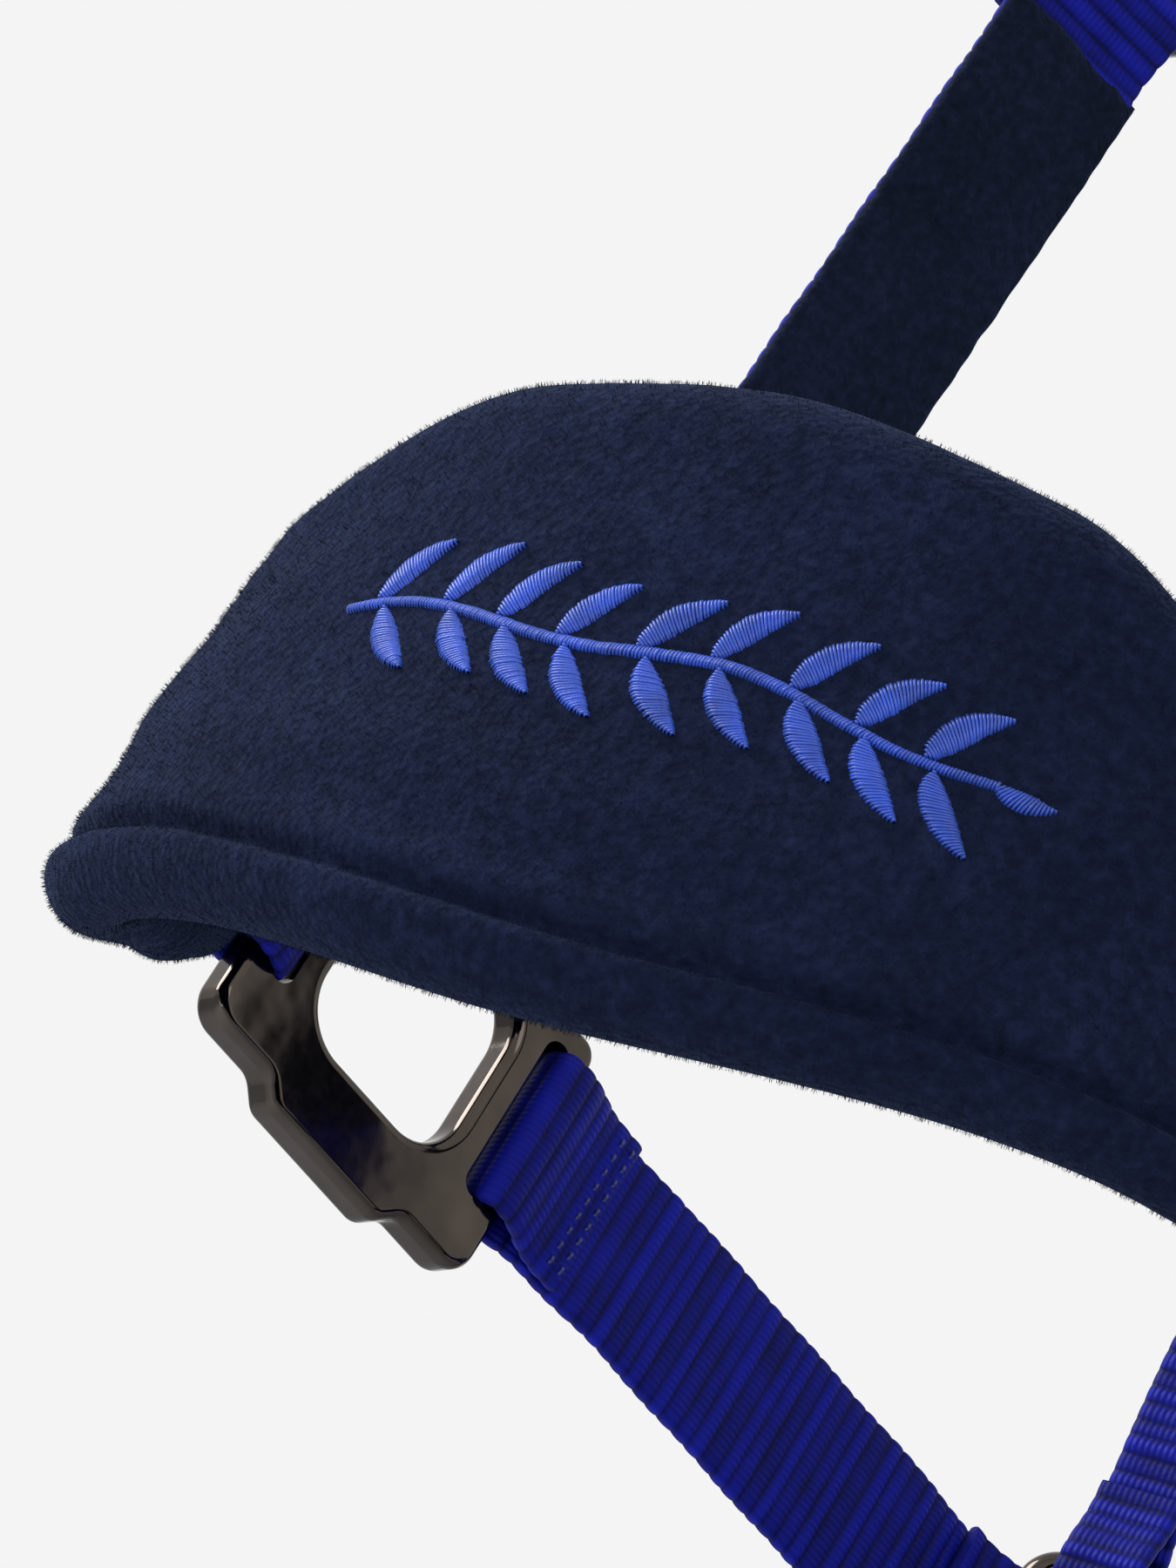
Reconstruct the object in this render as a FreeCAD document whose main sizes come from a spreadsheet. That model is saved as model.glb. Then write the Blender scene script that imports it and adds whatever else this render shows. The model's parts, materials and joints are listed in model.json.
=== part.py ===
"""Horse headcollar: fleece-padded noseband, cast square rings, webbing straps.

Frame: +Z up along the head, -Y towards the front of the nose, +X the near side.
The origin is the poll seat, the underside of the crown pad.  Sizes are millimetres.
"""
import FreeCAD, Part
import math
import os

from FreeCAD import Matrix, Placement, Vector

doc = FreeCAD.newDocument("headcollar")
sheet = doc.addObject("Spreadsheet::Sheet", "dims")

# Driving dimensions: alias, value in millimetres or degrees, meaning
DIMENSIONS = [
    ("WebWidth", 25.0, "width of the strap webbing"),
    ("WebThick", 2.2, "thickness of the strap webbing"),
    ("Gap", 0.3, "clearance of webbing round a bar"),
    ("RunGap", 0.08, "radial clearance of a running fit"),
    ("FlapLength", 14.0, "folded-back webbing at a bar"),
    ("RingOpening", 28.5, "side of the ring's rounded-square opening"),
    ("RingOpeningRound", 8.0, "corner radius of that opening"),
    ("RingThick", 6.0, "thickness of the ring casting"),
    ("RingWeb", 4.4, "metal between the opening and a slot"),
    ("SlotWidth", 4.6, "slot across the webbing's thickness"),
    ("SlotPlay", 1.6, "slot length beyond the webbing's width"),
    ("RingBar", 3.4, "outer bar of a slot"),
    ("RingBand", 12.6, "solid side of the ring, without a slot"),
    ("RingStep", 3.3, "inset of the slot arms from the solid side"),
    ("RingEdge", 1.6, "rounding of the ring's edges"),
    ("RingSpread", 73.0, "ring centre from the mid plane"),
    ("NoseReach", 109.0, "noseband's front from the ring centres"),
    ("CheekLength", 208.0, "side ring centre to upper ring centre"),
    ("CheekLean", 6.5, "inward lean of the cheek straps, degrees"),
    ("CrownRise", 196.0, "upper ring centres to the poll seat"),
    ("ChinAngle", 29.0, "chin straps' turn inward from straight back, degrees"),
    ("ChinDrop", 7.4, "chin straps' drop to the rear, degrees"),
    ("PadHeight", 90.0, "noseband pad, height at the front"),
    ("PadSideHeight", 70.0, "noseband pad, height at the side bends"),
    ("PadEndHeight", 36.0, "noseband pad, height at its ends"),
    ("PadThick", 17.0, "noseband pad thickness"),
    ("CoverWall", 1.8, "fleece cover's thickness"),
    ("LiningThick", 3.4, "fleece lining under the cheek straps"),
    ("CrownPadThick", 6.0, "lining under the crown strap"),
    ("CrownPadWidth", 38.0, "width of the crown pad"),
    ("EyeletPitch", 18.0, "spacing of the crown strap's eyelets"),
    ("EyeletHole", 5.0, "hole of an eyelet"),
    ("LinkWire", 5.0, "wire of the chin link and the buckle"),
    ("LinkWidth", 24.0, "chin link, outer width"),
    ("LinkHeight", 41.0, "chin link, outer height"),
    ("LeadRingMean", 40.0, "lead ring, diameter at the middle of its wire"),
    ("LeadRingWire", 5.5, "lead ring, wire diameter"),
    ("JawWidth", 12.0, "width of the jaw strap"),
    ("ThroatReach", 118.0, "throat strap's rear, behind the upper rings"),
    ("ThroatDrop", 92.0, "throat strap's rear, below the upper rings"),
    ("BuckleHeight", 30.0, "crown buckle, between its two bars"),
    ("BuckleOffset", 70.0, "crown buckle's lower bar above the upper ring centre"),
    ("KeeperLength", 9.0, "length of a sliding keeper"),
    ("KeeperWall", 1.6, "wall of a sliding keeper"),
    ("SnapBarrel", 11.0, "trigger snap, barrel diameter"),
    ("SnapBore", 6.6, "trigger snap, bore for the bolt and its spring"),
    ("SnapLength", 34.0, "trigger snap, barrel length"),
    ("SnapHook", 14.4, "trigger snap, width inside the hook"),
    ("SnapTravel", 8.0, "travel of the snap's bolt"),
]

for row, (alias, value, meaning) in enumerate(DIMENSIONS, start=1):
    sheet.set(f"A{row}", meaning)
    sheet.set(f"B{row}", str(value))
    sheet.setAlias(f"B{row}", alias)
doc.recompute()


def dim(alias):
    """A driving dimension from the sheet."""
    return float(getattr(sheet, alias))


X_AXIS = Vector(1, 0, 0)
Y_AXIS = Vector(0, 1, 0)
Z_AXIS = Vector(0, 0, 1)
SIDES = {"off": -1.0, "near": 1.0}


def unit(vector):
    result = Vector(vector)
    result.normalize()
    return result


def frame_at(origin, along, across):
    """A placement with local X along a strap and local Z across its width."""
    x_dir = unit(along)
    z_dir = unit(across - x_dir * across.dot(x_dir))
    y_dir = z_dir.cross(x_dir)
    matrix = Matrix(
        x_dir.x, y_dir.x, z_dir.x, origin.x,
        x_dir.y, y_dir.y, z_dir.y, origin.y,
        x_dir.z, y_dir.z, z_dir.z, origin.z,
        0, 0, 0, 1)
    return Placement(matrix)


def at(place, x, y, z=0.0):
    """A point given in a placement's own axes."""
    return place.multVec(Vector(x, y, z))


def turned(place, vector):
    """A direction given in a placement's own axes."""
    return place.Rotation.multVec(vector)


# ---------------------------------------------------------------- outlines

def rounded_outline(points, radii):
    """Edges of a closed polygon whose corners are arcs; a radius of 0 stays sharp."""
    corners = [Vector(x, y, 0) for x, y in points]
    count = len(corners)
    stations = []
    for index, corner in enumerate(corners):
        radius = radii[index]
        to_before = unit(corners[index - 1] - corner)
        to_after = unit(corners[(index + 1) % count] - corner)
        if radius <= 0:
            stations.append((corner, None, corner))
            continue
        half = to_before.getAngle(to_after) / 2
        setback = radius / math.tan(half)
        bisector = unit(to_before + to_after)
        middle = corner + bisector * (radius / math.sin(half) - radius)
        stations.append((corner + to_before * setback, middle, corner + to_after * setback))
    edges = []
    for index, (first, middle, last) in enumerate(stations):
        if middle is not None:
            edges.append(Part.Arc(first, middle, last))
        following = stations[(index + 1) % count][0]
        if last.distanceToPoint(following) > 1e-6:
            edges.append(Part.LineSegment(last, following))
    return edges


def outline_face(points, radii):
    edges = [curve.toShape() for curve in rounded_outline(points, radii)]
    return Part.Face(Part.Wire(Part.sortEdges(edges)[0]))


def rectangle(x_low, x_high, y_low, y_high):
    return [(x_low, y_low), (x_high, y_low), (x_high, y_high), (x_low, y_high)]


# ---------------------------------------------------------------- PartDesign helpers

def origin_plane(body, role):
    for item in body.Origin.OriginFeatures:
        if item.Role == role:
            return item
    raise ValueError(role)


def sketch_on(body, name, outlines):
    """A sketch on the body's XY plane holding closed outlines."""
    sketch = body.newObject("Sketcher::SketchObject", name)
    sketch.AttachmentSupport = [(origin_plane(body, "XY_Plane"), "")]
    sketch.MapMode = "FlatFace"
    for points, radii in outlines:
        for curve in rounded_outline(points, radii):
            sketch.addGeometry(curve, False)
    return sketch


def pad_through(body, sketch, name, expression):
    """A pad centred on the sketch, as long as the expression says."""
    pad = body.newObject("PartDesign::Pad", name)
    pad.Profile = sketch
    pad.Midplane = True
    pad.setExpression("Length", expression)
    sketch.Visibility = False
    return pad


def pocket_through(body, sketch, name):
    pocket = body.newObject("PartDesign::Pocket", name)
    pocket.Profile = sketch
    pocket.Type = "ThroughAll"
    pocket.Midplane = True
    return pocket


def fillet_faces(body, base, name, expression, keep):
    """Round the edges of the body's flat faces that keep() accepts."""
    doc.recompute()
    names = []
    for index, edge in enumerate(base.Shape.Edges, start=1):
        if keep(edge):
            names.append(f"Edge{index}")
    fillet = body.newObject("PartDesign::Fillet", name)
    fillet.Base = (base, names)
    fillet.setExpression("Radius", expression)
    return fillet


nodes = []


def register(item, label, place=None):
    """Give a sub-part its label and place, and list it for export."""
    item.Label = label
    if place is not None:
        item.Placement = place
    nodes.append(item)
    return item


def add_shape(label, shape, place=None):
    item = doc.addObject("Part::Feature", label)
    item.Shape = shape
    return register(item, label, place)


# ---------------------------------------------------------------- cast square ring

SLOT_CENTRE = dim("RingOpening") / 2 + dim("RingWeb") + dim("SlotWidth") / 2
BAR_CENTRE = SLOT_CENTRE + dim("SlotWidth") / 2 + dim("RingBar") / 2
RING_REACH = BAR_CENTRE + dim("RingBar") / 2
BAND_REACH = dim("RingOpening") / 2 + dim("RingBand")
SLOT_HALF = (dim("WebWidth") + dim("SlotPlay")) / 2


def ring_outline():
    """Outline of the casting: a solid band at -Y and slotted arms on the other sides."""
    arm = SLOT_HALF + dim("RingBar") + 0.6
    band = arm - dim("RingStep")
    lower = BAND_REACH - dim("RingStep")
    right = [
        (band - dim("RingStep"), -BAND_REACH), (band, -lower), (RING_REACH, -lower),
        (RING_REACH, arm), (arm, arm), (arm, RING_REACH)]
    left = [(-x, y) for x, y in reversed(right)]
    radii = [3.0, 3.0, 4.6, 3.0, 1.8, 3.0]
    return right + left, radii + radii[::-1]


def ring_windows():
    """The opening and the three slots."""
    half = dim("RingOpening") / 2
    slot = dim("SlotWidth") / 2
    opening = (rectangle(-half, half, -half, half), [dim("RingOpeningRound")] * 4)
    windows = [opening]
    for side in (-1, 1):
        centre = side * SLOT_CENTRE
        points = rectangle(centre - slot, centre + slot, -SLOT_HALF, SLOT_HALF)
        windows.append((points, [slot * 0.98] * 4))
    points = rectangle(-SLOT_HALF, SLOT_HALF, SLOT_CENTRE - slot, SLOT_CENTRE + slot)
    windows.append((points, [slot * 0.98] * 4))
    return windows


def cast_ring(label, place):
    """One square ring: pad, opening and slots, rounded on both faces."""
    body = doc.addObject("PartDesign::Body", label)
    pad = pad_through(body, sketch_on(body, label + "_outline", [ring_outline()]),
                      label + "_plate", "dims.RingThick")
    pocket = pocket_through(body, sketch_on(body, label + "_windows", ring_windows()),
                            label + "_openings")
    face_height = dim("RingThick") / 2
    limit = dim("RingOpening") / 2 + 0.1

    def on_outline(edge):
        box = edge.BoundBox
        flat = box.ZLength < 1e-3 and abs(abs(box.ZMin) - face_height) < 1e-3
        middle = edge.valueAt((edge.FirstParameter + edge.LastParameter) / 2)
        x, y = abs(middle.x), middle.y
        outside = x > BAR_CENTRE or y > BAR_CENTRE or y < -SLOT_HALF - 1.5
        corner = x > SLOT_HALF + 1.0 and y > SLOT_HALF + 1.0
        return flat and (outside or corner)

    def on_opening(edge):
        box = edge.BoundBox
        flat = box.ZLength < 1e-3 and abs(abs(box.ZMin) - face_height) < 1e-3
        inside = max(abs(box.XMin), abs(box.XMax), abs(box.YMin), abs(box.YMax)) < limit
        return flat and inside

    rim = fillet_faces(body, pocket, label + "_rim", "dims.RingEdge", on_outline)
    lip = fillet_faces(body, rim, label + "_lip", "dims.RingEdge", on_opening)
    doc.recompute()
    body.Tip = lip
    return register(body, label, place)


# ---------------------------------------------------------------- webbing

def tab_face(bar_half, bar_depth, flap, thick):
    """Side view of webbing folded round a bar at the origin, its tail along +X."""
    gap = dim("Gap")
    inner_x = bar_half + gap
    inner_y = bar_depth + gap
    outer_x = inner_x + thick
    outer_y = inner_y + thick
    taper = inner_x + inner_y + thick * 1.5
    outer = [(-outer_x, -outer_y), (inner_x, -outer_y), (taper, -thick), (flap, -thick),
             (flap, thick), (taper, thick), (inner_x, outer_y), (-outer_x, outer_y)]
    outer_round = min(outer_x, outer_y) * 0.6
    inner_round = min(inner_x, inner_y) * 0.15
    face = outline_face(outer, [outer_round, 1.0, 1.5, 0, 0, 1.5, 1.0, outer_round])
    hole = [(-inner_x, -inner_y), (inner_x, -inner_y), (taper - thick, -0.4),
            (taper - thick, 0.4), (inner_x, inner_y), (-inner_x, inner_y)]
    hole_face = outline_face(hole, [inner_round, 0.8, 0, 0, 0.8, inner_round])
    return face.cut(hole_face)


def tab(place, bar_half, bar_depth, flap, width=None, thick=None):
    """Webbing folded round a bar: the bar is at the placement's origin."""
    width = width or dim("WebWidth")
    thick = thick or dim("WebThick")
    face = tab_face(bar_half, bar_depth, flap, thick)
    solid = face.extrude(Vector(0, 0, width))
    solid.translate(Vector(0, 0, -width / 2))
    solid.transformShape(place.toMatrix())
    return solid


def section_wire(centre, along, across, width, thick):
    """A rectangle across a strap."""
    x_dir = unit(along)
    z_dir = unit(across - x_dir * across.dot(x_dir)) * (width / 2)
    y_dir = unit(z_dir.cross(x_dir)) * (thick / 2)
    corners = [centre - y_dir - z_dir, centre + y_dir - z_dir,
               centre + y_dir + z_dir, centre - y_dir + z_dir]
    return Part.makePolygon(corners + [corners[0]])


def ribbon(stations, thick=None, ruled=False):
    """A strap lofted through stations (centre, along, across, width)."""
    thick = thick or dim("WebThick")
    wires = [section_wire(c, a, w, width, thick) for c, a, w, width in stations]
    return Part.makeLoft(wires, True, ruled)


def one_solid(shapes):
    """Fuse overlapping shapes and keep them as a single solid."""
    result = shapes[0]
    for shape in shapes[1:]:
        result = result.fuse(shape)
    result = result.removeSplitter()
    return result.Solids[0] if len(result.Solids) == 1 else result


# ---------------------------------------------------------------- places

LEAN = math.radians(dim("CheekLean"))
TURN = math.radians(dim("ChinAngle"))
DROP = math.radians(dim("ChinDrop"))

UPPER_LEVEL = -dim("CrownRise")
RING_LEVEL = UPPER_LEVEL - dim("CheekLength") * math.cos(LEAN)
UPPER_SPREAD = dim("RingSpread") - dim("CheekLength") * math.sin(LEAN)


def chin_way(side):
    """Direction of a chin strap, from its ring to the chin."""
    return Vector(-side * math.sin(TURN) * math.cos(DROP),
                  math.cos(TURN) * math.cos(DROP), -math.sin(DROP))


CHIN_ACROSS = unit(chin_way(-1).cross(chin_way(1)))
if CHIN_ACROSS.z < 0:
    CHIN_ACROSS = CHIN_ACROSS * -1

ring_centre = {}
upper_centre = {}
ring_place = {}
upper_place = {}
for name, side in SIDES.items():
    ring_centre[name] = Vector(side * dim("RingSpread"), 0, RING_LEVEL)
    upper_centre[name] = Vector(side * UPPER_SPREAD, 0, UPPER_LEVEL)
    way = chin_way(side)
    normal = way.cross(CHIN_ACROSS)
    ring_place[name] = frame_at(ring_centre[name], way, normal)
    level_way = unit(Vector(way.x, way.y, 0))
    cheek_way = unit(upper_centre[name] - ring_centre[name])
    upward = unit(cheek_way - level_way * cheek_way.dot(level_way))
    upper_place[name] = frame_at(upper_centre[name], upward, upward.cross(level_way))

for name in SIDES:
    cast_ring(f"{name}_side_ring", ring_place[name])
    cast_ring(f"{name}_upper_ring", upper_place[name])


# ---------------------------------------------------------------- strap ends at the rings

def bar_frame(origin, along, bar_axis):
    """Local X along the strap, square to the bar, which is local Z."""
    z_dir = unit(bar_axis)
    x_dir = unit(along - z_dir * along.dot(z_dir))
    return frame_at(origin, x_dir, z_dir)


def ring_bar(place, slot):
    """Centre, outward direction and axis of a ring's slot bar."""
    ways = {"front": Vector(-1, 0, 0), "rear": Vector(1, 0, 0), "side": Vector(0, 1, 0)}
    axes = {"front": Y_AXIS, "rear": Y_AXIS, "side": X_AXIS}
    outward = turned(place, ways[slot])
    return place.Base + outward * BAR_CENTRE, outward, turned(place, axes[slot])


def ring_tab(place, slot, toward, flap, thick=None):
    """Webbing end on a ring's bar, leaning towards a direction; returns it and its tail."""
    centre, outward, axis = ring_bar(place, slot)
    frame = bar_frame(centre, toward, axis)
    lean = turned(frame, X_AXIS).getAngle(outward)
    half_bar = dim("RingBar") / 2
    half_ring = dim("RingThick") / 2
    bar_half = half_bar * math.cos(lean) + half_ring * math.sin(lean)
    bar_depth = half_ring * math.cos(lean) + half_bar * math.sin(lean)
    solid = tab(frame, bar_half, bar_depth, flap, thick=thick)
    return solid, frame


def tail_station(frame, flap, width=None):
    """The station inside a tab's tail from which its strap goes on."""
    width = width or dim("WebWidth")
    return (at(frame, flap - 3.0, 0), turned(frame, X_AXIS), turned(frame, Z_AXIS), width)


def reversed_station(station):
    centre, along, across, width = station
    return centre, along * -1, across, width


FLAP = dim("FlapLength")
WEB = dim("WebWidth")


# ---------------------------------------------------------------- noseband

FRONT_RADIUS = 100.0
FRONT_TURN = math.radians(40)
SIDE_RADIUS = 57.0
FRONT_CENTRE_Y = -dim("NoseReach") + FRONT_RADIUS
SIDE_CENTRE_X = (FRONT_RADIUS - SIDE_RADIUS) * math.sin(FRONT_TURN)
SIDE_CENTRE_Y = FRONT_CENTRE_Y - (FRONT_RADIUS - SIDE_RADIUS) * math.cos(FRONT_TURN)
NOSE_TILT = math.radians(12)


def nose_point(turn):
    """Centreline of the noseband where it has turned from the X direction."""
    if turn <= FRONT_TURN:
        return Vector(FRONT_RADIUS * math.sin(turn),
                      FRONT_CENTRE_Y - FRONT_RADIUS * math.cos(turn), RING_LEVEL)
    return Vector(SIDE_CENTRE_X + SIDE_RADIUS * math.sin(turn),
                  SIDE_CENTRE_Y - SIDE_RADIUS * math.cos(turn), RING_LEVEL)


def nose_station(turn, side):
    """Centre, direction and height direction at a turn of the near or off half."""
    point = nose_point(turn)
    tilt = NOSE_TILT * min(1.0, max(0.0, (turn - math.radians(25)) / math.radians(35)))
    along = Vector(math.cos(turn), math.sin(turn), 0)
    outward = Vector(math.sin(turn), -math.cos(turn), 0)
    across = Z_AXIS * math.cos(tilt) - outward * math.sin(tilt)
    if side < 0:
        point.x = -point.x
        along = Vector(along.x, -along.y, 0)
        across.x = -across.x
    return point, along, across


def mixed(low, high, share):
    return low + (high - low) * share


def pad_height(turn):
    """Height of the pad along the noseband: tall in front, low at the ends."""
    side_turn = math.radians(58)
    if turn <= side_turn:
        share = (1 - math.cos(math.pi * turn / side_turn)) / 2
        return mixed(dim("PadHeight"), dim("PadSideHeight"), share)
    share = (turn - side_turn) / (math.radians(90) - side_turn)
    return mixed(dim("PadSideHeight"), dim("PadEndHeight") * 1.3, share)


def stadium(centre, along, across, height, thick):
    """A rounded section of the pad."""
    z_dir = unit(across) * (height / 2 - thick / 2)
    y_dir = unit(across.cross(along)) * (thick / 2)
    cap = unit(across) * (thick / 2)
    top = centre + z_dir
    bottom = centre - z_dir
    edges = [
        Part.LineSegment(bottom + y_dir, top + y_dir).toShape(),
        Part.Arc(top + y_dir, top + cap, top - y_dir).toShape(),
        Part.LineSegment(top - y_dir, bottom - y_dir).toShape(),
        Part.Arc(bottom - y_dir, bottom - cap, bottom + y_dir).toShape()]
    return Part.Wire(edges)


nose_tab = {}
for name, side in SIDES.items():
    forward = chin_way(side) * -1
    toward = unit(forward * math.cos(math.radians(18)) -
                  turned(ring_place[name], Z_AXIS) * math.sin(math.radians(18)))
    inward = Vector(-side, 0, 0)
    if toward.dot(inward) < forward.dot(inward):
        toward = unit(forward * math.cos(math.radians(18)) +
                      turned(ring_place[name], Z_AXIS) * math.sin(math.radians(18)))
    nose_tab[name] = ring_tab(ring_place[name], "front", toward, FLAP)

NOSE_TURNS = [math.radians(angle) for angle in (0, 20, 40, 58, 74, 90)]


def nose_stations(end_share):
    """(centre, along, across, turn) from the off end to the near end of the noseband."""
    stations = []
    halves = {}
    for name, side in SIDES.items():
        tail = at(nose_tab[name][1], FLAP * end_share, 0)
        tail_along = turned(nose_tab[name][1], X_AXIS)
        tail_across = turned(nose_tab[name][1], Z_AXIS)
        halves[name] = (tail, tail_along, tail_across)
    tail, along, across = halves["off"]
    stations.append((tail, along, across, None))
    for turn in reversed(NOSE_TURNS[1:]):
        stations.append(nose_station(turn, -1.0) + (turn,))
    for turn in NOSE_TURNS:
        stations.append(nose_station(turn, 1.0) + (turn,))
    tail, along, across = halves["near"]
    stations.append((tail, along * -1, across, None))
    return stations


def noseband_webbing():
    path = [(c, a, w, WEB) for c, a, w, turn in nose_stations(0.8)]
    strap = ribbon(path)
    return one_solid([strap, nose_tab["off"][0], nose_tab["near"][0]])


def pad_solid(inset, end_share):
    """The pad's outer form, or its inside for an inset of the cover's wall."""
    wires = []
    for centre, along, across, turn in nose_stations(end_share):
        height = dim("PadEndHeight") if turn is None else pad_height(turn)
        thick = dim("PadThick") * (0.66 if turn is None else 1.0)
        wires.append(stadium(centre, along, across, height - 2 * inset, thick - 2 * inset))
    return Part.makeLoft(wires, True, False)


webbing = noseband_webbing()
END_SHARE = 0.75
pad_outer = pad_solid(0.0, END_SHARE)
pad_inner = pad_solid(dim("CoverWall"), END_SHARE + dim("CoverWall") / FLAP)
pad_cover = pad_outer.cut(pad_inner).cut(webbing)
pad_foam = pad_inner.cut(webbing)
add_shape("noseband_webbing", webbing)
add_shape("noseband_cover", max(pad_cover.Solids, key=lambda item: item.Volume))
add_shape("noseband_foam", max(pad_foam.Solids, key=lambda item: item.Volume))


# ---------------------------------------------------------------- chin link and lead ring

LINK_BAR = (dim("LinkWidth") - dim("LinkWire")) / 2
LINK_RUN = (dim("RingSpread") - LINK_BAR) / (math.sin(TURN) * math.cos(DROP))
link_centre = ring_centre["near"] + chin_way(1.0) * LINK_RUN
link_centre.x = 0
LINK_HALF = (dim("LinkHeight") - dim("LinkWire")) / 2
link_place = frame_at(link_centre, X_AXIS, CHIN_ACROSS.cross(X_AXIS) * -1)
WIRE = dim("LinkWire") / 2


def frame_solid(half_x, half_y, radius, bend):
    """Four bars and four quarter-torus corners, fused into one wire frame."""
    pieces = []
    for side in (-1, 1):
        bar = Part.makeCylinder(radius, 2 * (half_y - bend), Vector(side * half_x, bend - half_y, 0),
                                Y_AXIS)
        pieces.append(bar)
        bar = Part.makeCylinder(radius, 2 * (half_x - bend), Vector(bend - half_x, side * half_y, 0),
                                X_AXIS)
        pieces.append(bar)
    for index, (sx, sy) in enumerate(((1, 1), (-1, 1), (-1, -1), (1, -1))):
        corner = Part.makeTorus(bend, radius, Vector(0, 0, 0), Z_AXIS, 0, 360, 90)
        corner.rotate(Vector(0, 0, 0), Z_AXIS, 90 * index)
        corner.translate(Vector(sx * (half_x - bend), sy * (half_y - bend), 0))
        pieces.append(corner)
    return one_solid(pieces)


add_shape("chin_link", frame_solid(LINK_BAR, LINK_HALF, WIRE, 3.2), link_place)

HANG = dim("LeadRingMean") / 2 - dim("LeadRingWire") / 2 - WIRE - dim("RunGap") * 2
lead_pivot = at(link_place, 0, -LINK_HALF)
lead_centre = lead_pivot - Z_AXIS * HANG
lead_ring = doc.addObject("Part::Torus", "lead_ring")
lead_ring.setExpression("Radius1", "dims.LeadRingMean / 2")
lead_ring.setExpression("Radius2", "dims.LeadRingWire / 2")
register(lead_ring, "lead_ring", frame_at(lead_centre, Y_AXIS, X_AXIS))


# ---------------------------------------------------------------- chin and jaw straps

chin_ends = {}
for name, side in SIDES.items():
    first, first_frame = ring_tab(ring_place[name], "rear", chin_way(side), FLAP)
    bar = at(link_place, side * LINK_BAR, 0)
    last_frame = bar_frame(bar, chin_way(side) * -1, CHIN_ACROSS)
    last = tab(last_frame, WIRE, WIRE, FLAP)
    path = [tail_station(first_frame, FLAP), reversed_station(tail_station(last_frame, FLAP))]
    add_shape(f"{name}_chin_strap", one_solid([first, ribbon(path), last]))
    chin_ends[name] = (path[0][0], path[1][0])


# ---------------------------------------------------------------- cheek straps

def strap_between(first, last, middle=()):
    """A strap from one tab's tail to another's, through stations between."""
    path = [tail_station(first[1], FLAP)]
    path.extend(middle)
    path.append(reversed_station(tail_station(last[1], FLAP)))
    return one_solid([first[0], ribbon(path), last[0]]), path


for name, side in SIDES.items():
    way = unit(upper_centre[name] - ring_centre[name])
    lower = ring_tab(ring_place[name], "side", way, FLAP)
    upper = ring_tab(upper_place[name], "front", way * -1, FLAP)
    cheek, path = strap_between(lower, upper)
    add_shape(f"{name}_cheek_strap", cheek)
    inward = turned(ring_place[name], Z_AXIS)
    if inward.x * side > 0:
        inward = inward * -1
    shift = dim("WebThick") / 2 + dim("LiningThick") / 2 + dim("Gap")
    low, high = path[0], path[-1]
    run = high[0] - low[0]
    lining_path = []
    for share in (0.07, 0.5, 0.93):
        centre = low[0] + run * share + inward * shift
        across = low[2] + (high[2] - low[2] if high[2].dot(low[2]) > 0 else
                           high[2] * -1 - low[2]) * share
        lining_path.append((centre, unit(run), across, WEB))
    add_shape(f"{name}_cheek_lining", ribbon(lining_path, thick=dim("LiningThick")))


# ---------------------------------------------------------------- crown buckle, near side

buckle_across = turned(upper_place["near"], Y_AXIS)
POLL_RADIUS = 34.0
CROWN_RADIUS = POLL_RADIUS + dim("CrownPadThick") + dim("Gap") + dim("WebThick") / 2
arch_centre = Vector(0, 0, -POLL_RADIUS)
near_foot = upper_centre["near"]
near_shoulder = arch_centre + X_AXIS * CROWN_RADIUS
crown_up = unit(near_shoulder - near_foot)
buckle_place = frame_at(near_foot, crown_up, buckle_across)
LOW_BAR = dim("BuckleOffset")
HIGH_BAR = LOW_BAR + dim("BuckleHeight")
BUCKLE_HALF = dim("WebWidth") / 2 + dim("SlotPlay") / 2 + WIRE
ROLLER = WIRE + dim("RunGap") + 1.4


def placed(shape):
    """A shape drawn in the buckle's own axes, put in its place."""
    shape.transformShape(buckle_place.toMatrix())
    return shape


def along_z(radius, length, x, y=0.0):
    """A cylinder across the strap at a height on the buckle."""
    return Part.makeCylinder(radius, length, Vector(x, y, -length / 2), Z_AXIS)


frame_shape = frame_solid((HIGH_BAR - LOW_BAR) / 2, BUCKLE_HALF, WIRE, 4.0)
frame_shape.rotate(Vector(0, 0, 0), X_AXIS, 90)
frame_shape.translate(Vector((HIGH_BAR + LOW_BAR) / 2, 0, 0))
add_shape("crown_buckle_frame", placed(frame_shape))

ROLLER_LENGTH = 2 * (BUCKLE_HALF - 4.0) - 0.6
roller = along_z(ROLLER, ROLLER_LENGTH, HIGH_BAR)
roller = roller.cut(along_z(WIRE + dim("RunGap"), ROLLER_LENGTH + 2, HIGH_BAR))
add_shape("crown_buckle_roller", placed(roller))

TONGUE_WIDTH = 4.4
TONGUE_THICK = 3.0
tip_y = ROLLER + dim("Gap") + TONGUE_THICK / 2
eye = along_z(WIRE + dim("RunGap") + 1.8, TONGUE_WIDTH, LOW_BAR)
prong_points = [
    (LOW_BAR, 0.6), (LOW_BAR + 8, 1.4), (HIGH_BAR - 5, tip_y - 1.7),
    (HIGH_BAR + 3.2, tip_y - 1.5), (HIGH_BAR + 3.2, tip_y + 1.0),
    (HIGH_BAR - 3, tip_y + 1.5), (LOW_BAR + 8, 4.6), (LOW_BAR, 4.2)]
prong = outline_face(prong_points, [0] * 8).extrude(Vector(0, 0, TONGUE_WIDTH))
prong.translate(Vector(0, 0, -TONGUE_WIDTH / 2))
tongue = eye.fuse(prong).cut(along_z(WIRE + dim("RunGap"), 20, LOW_BAR))
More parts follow.
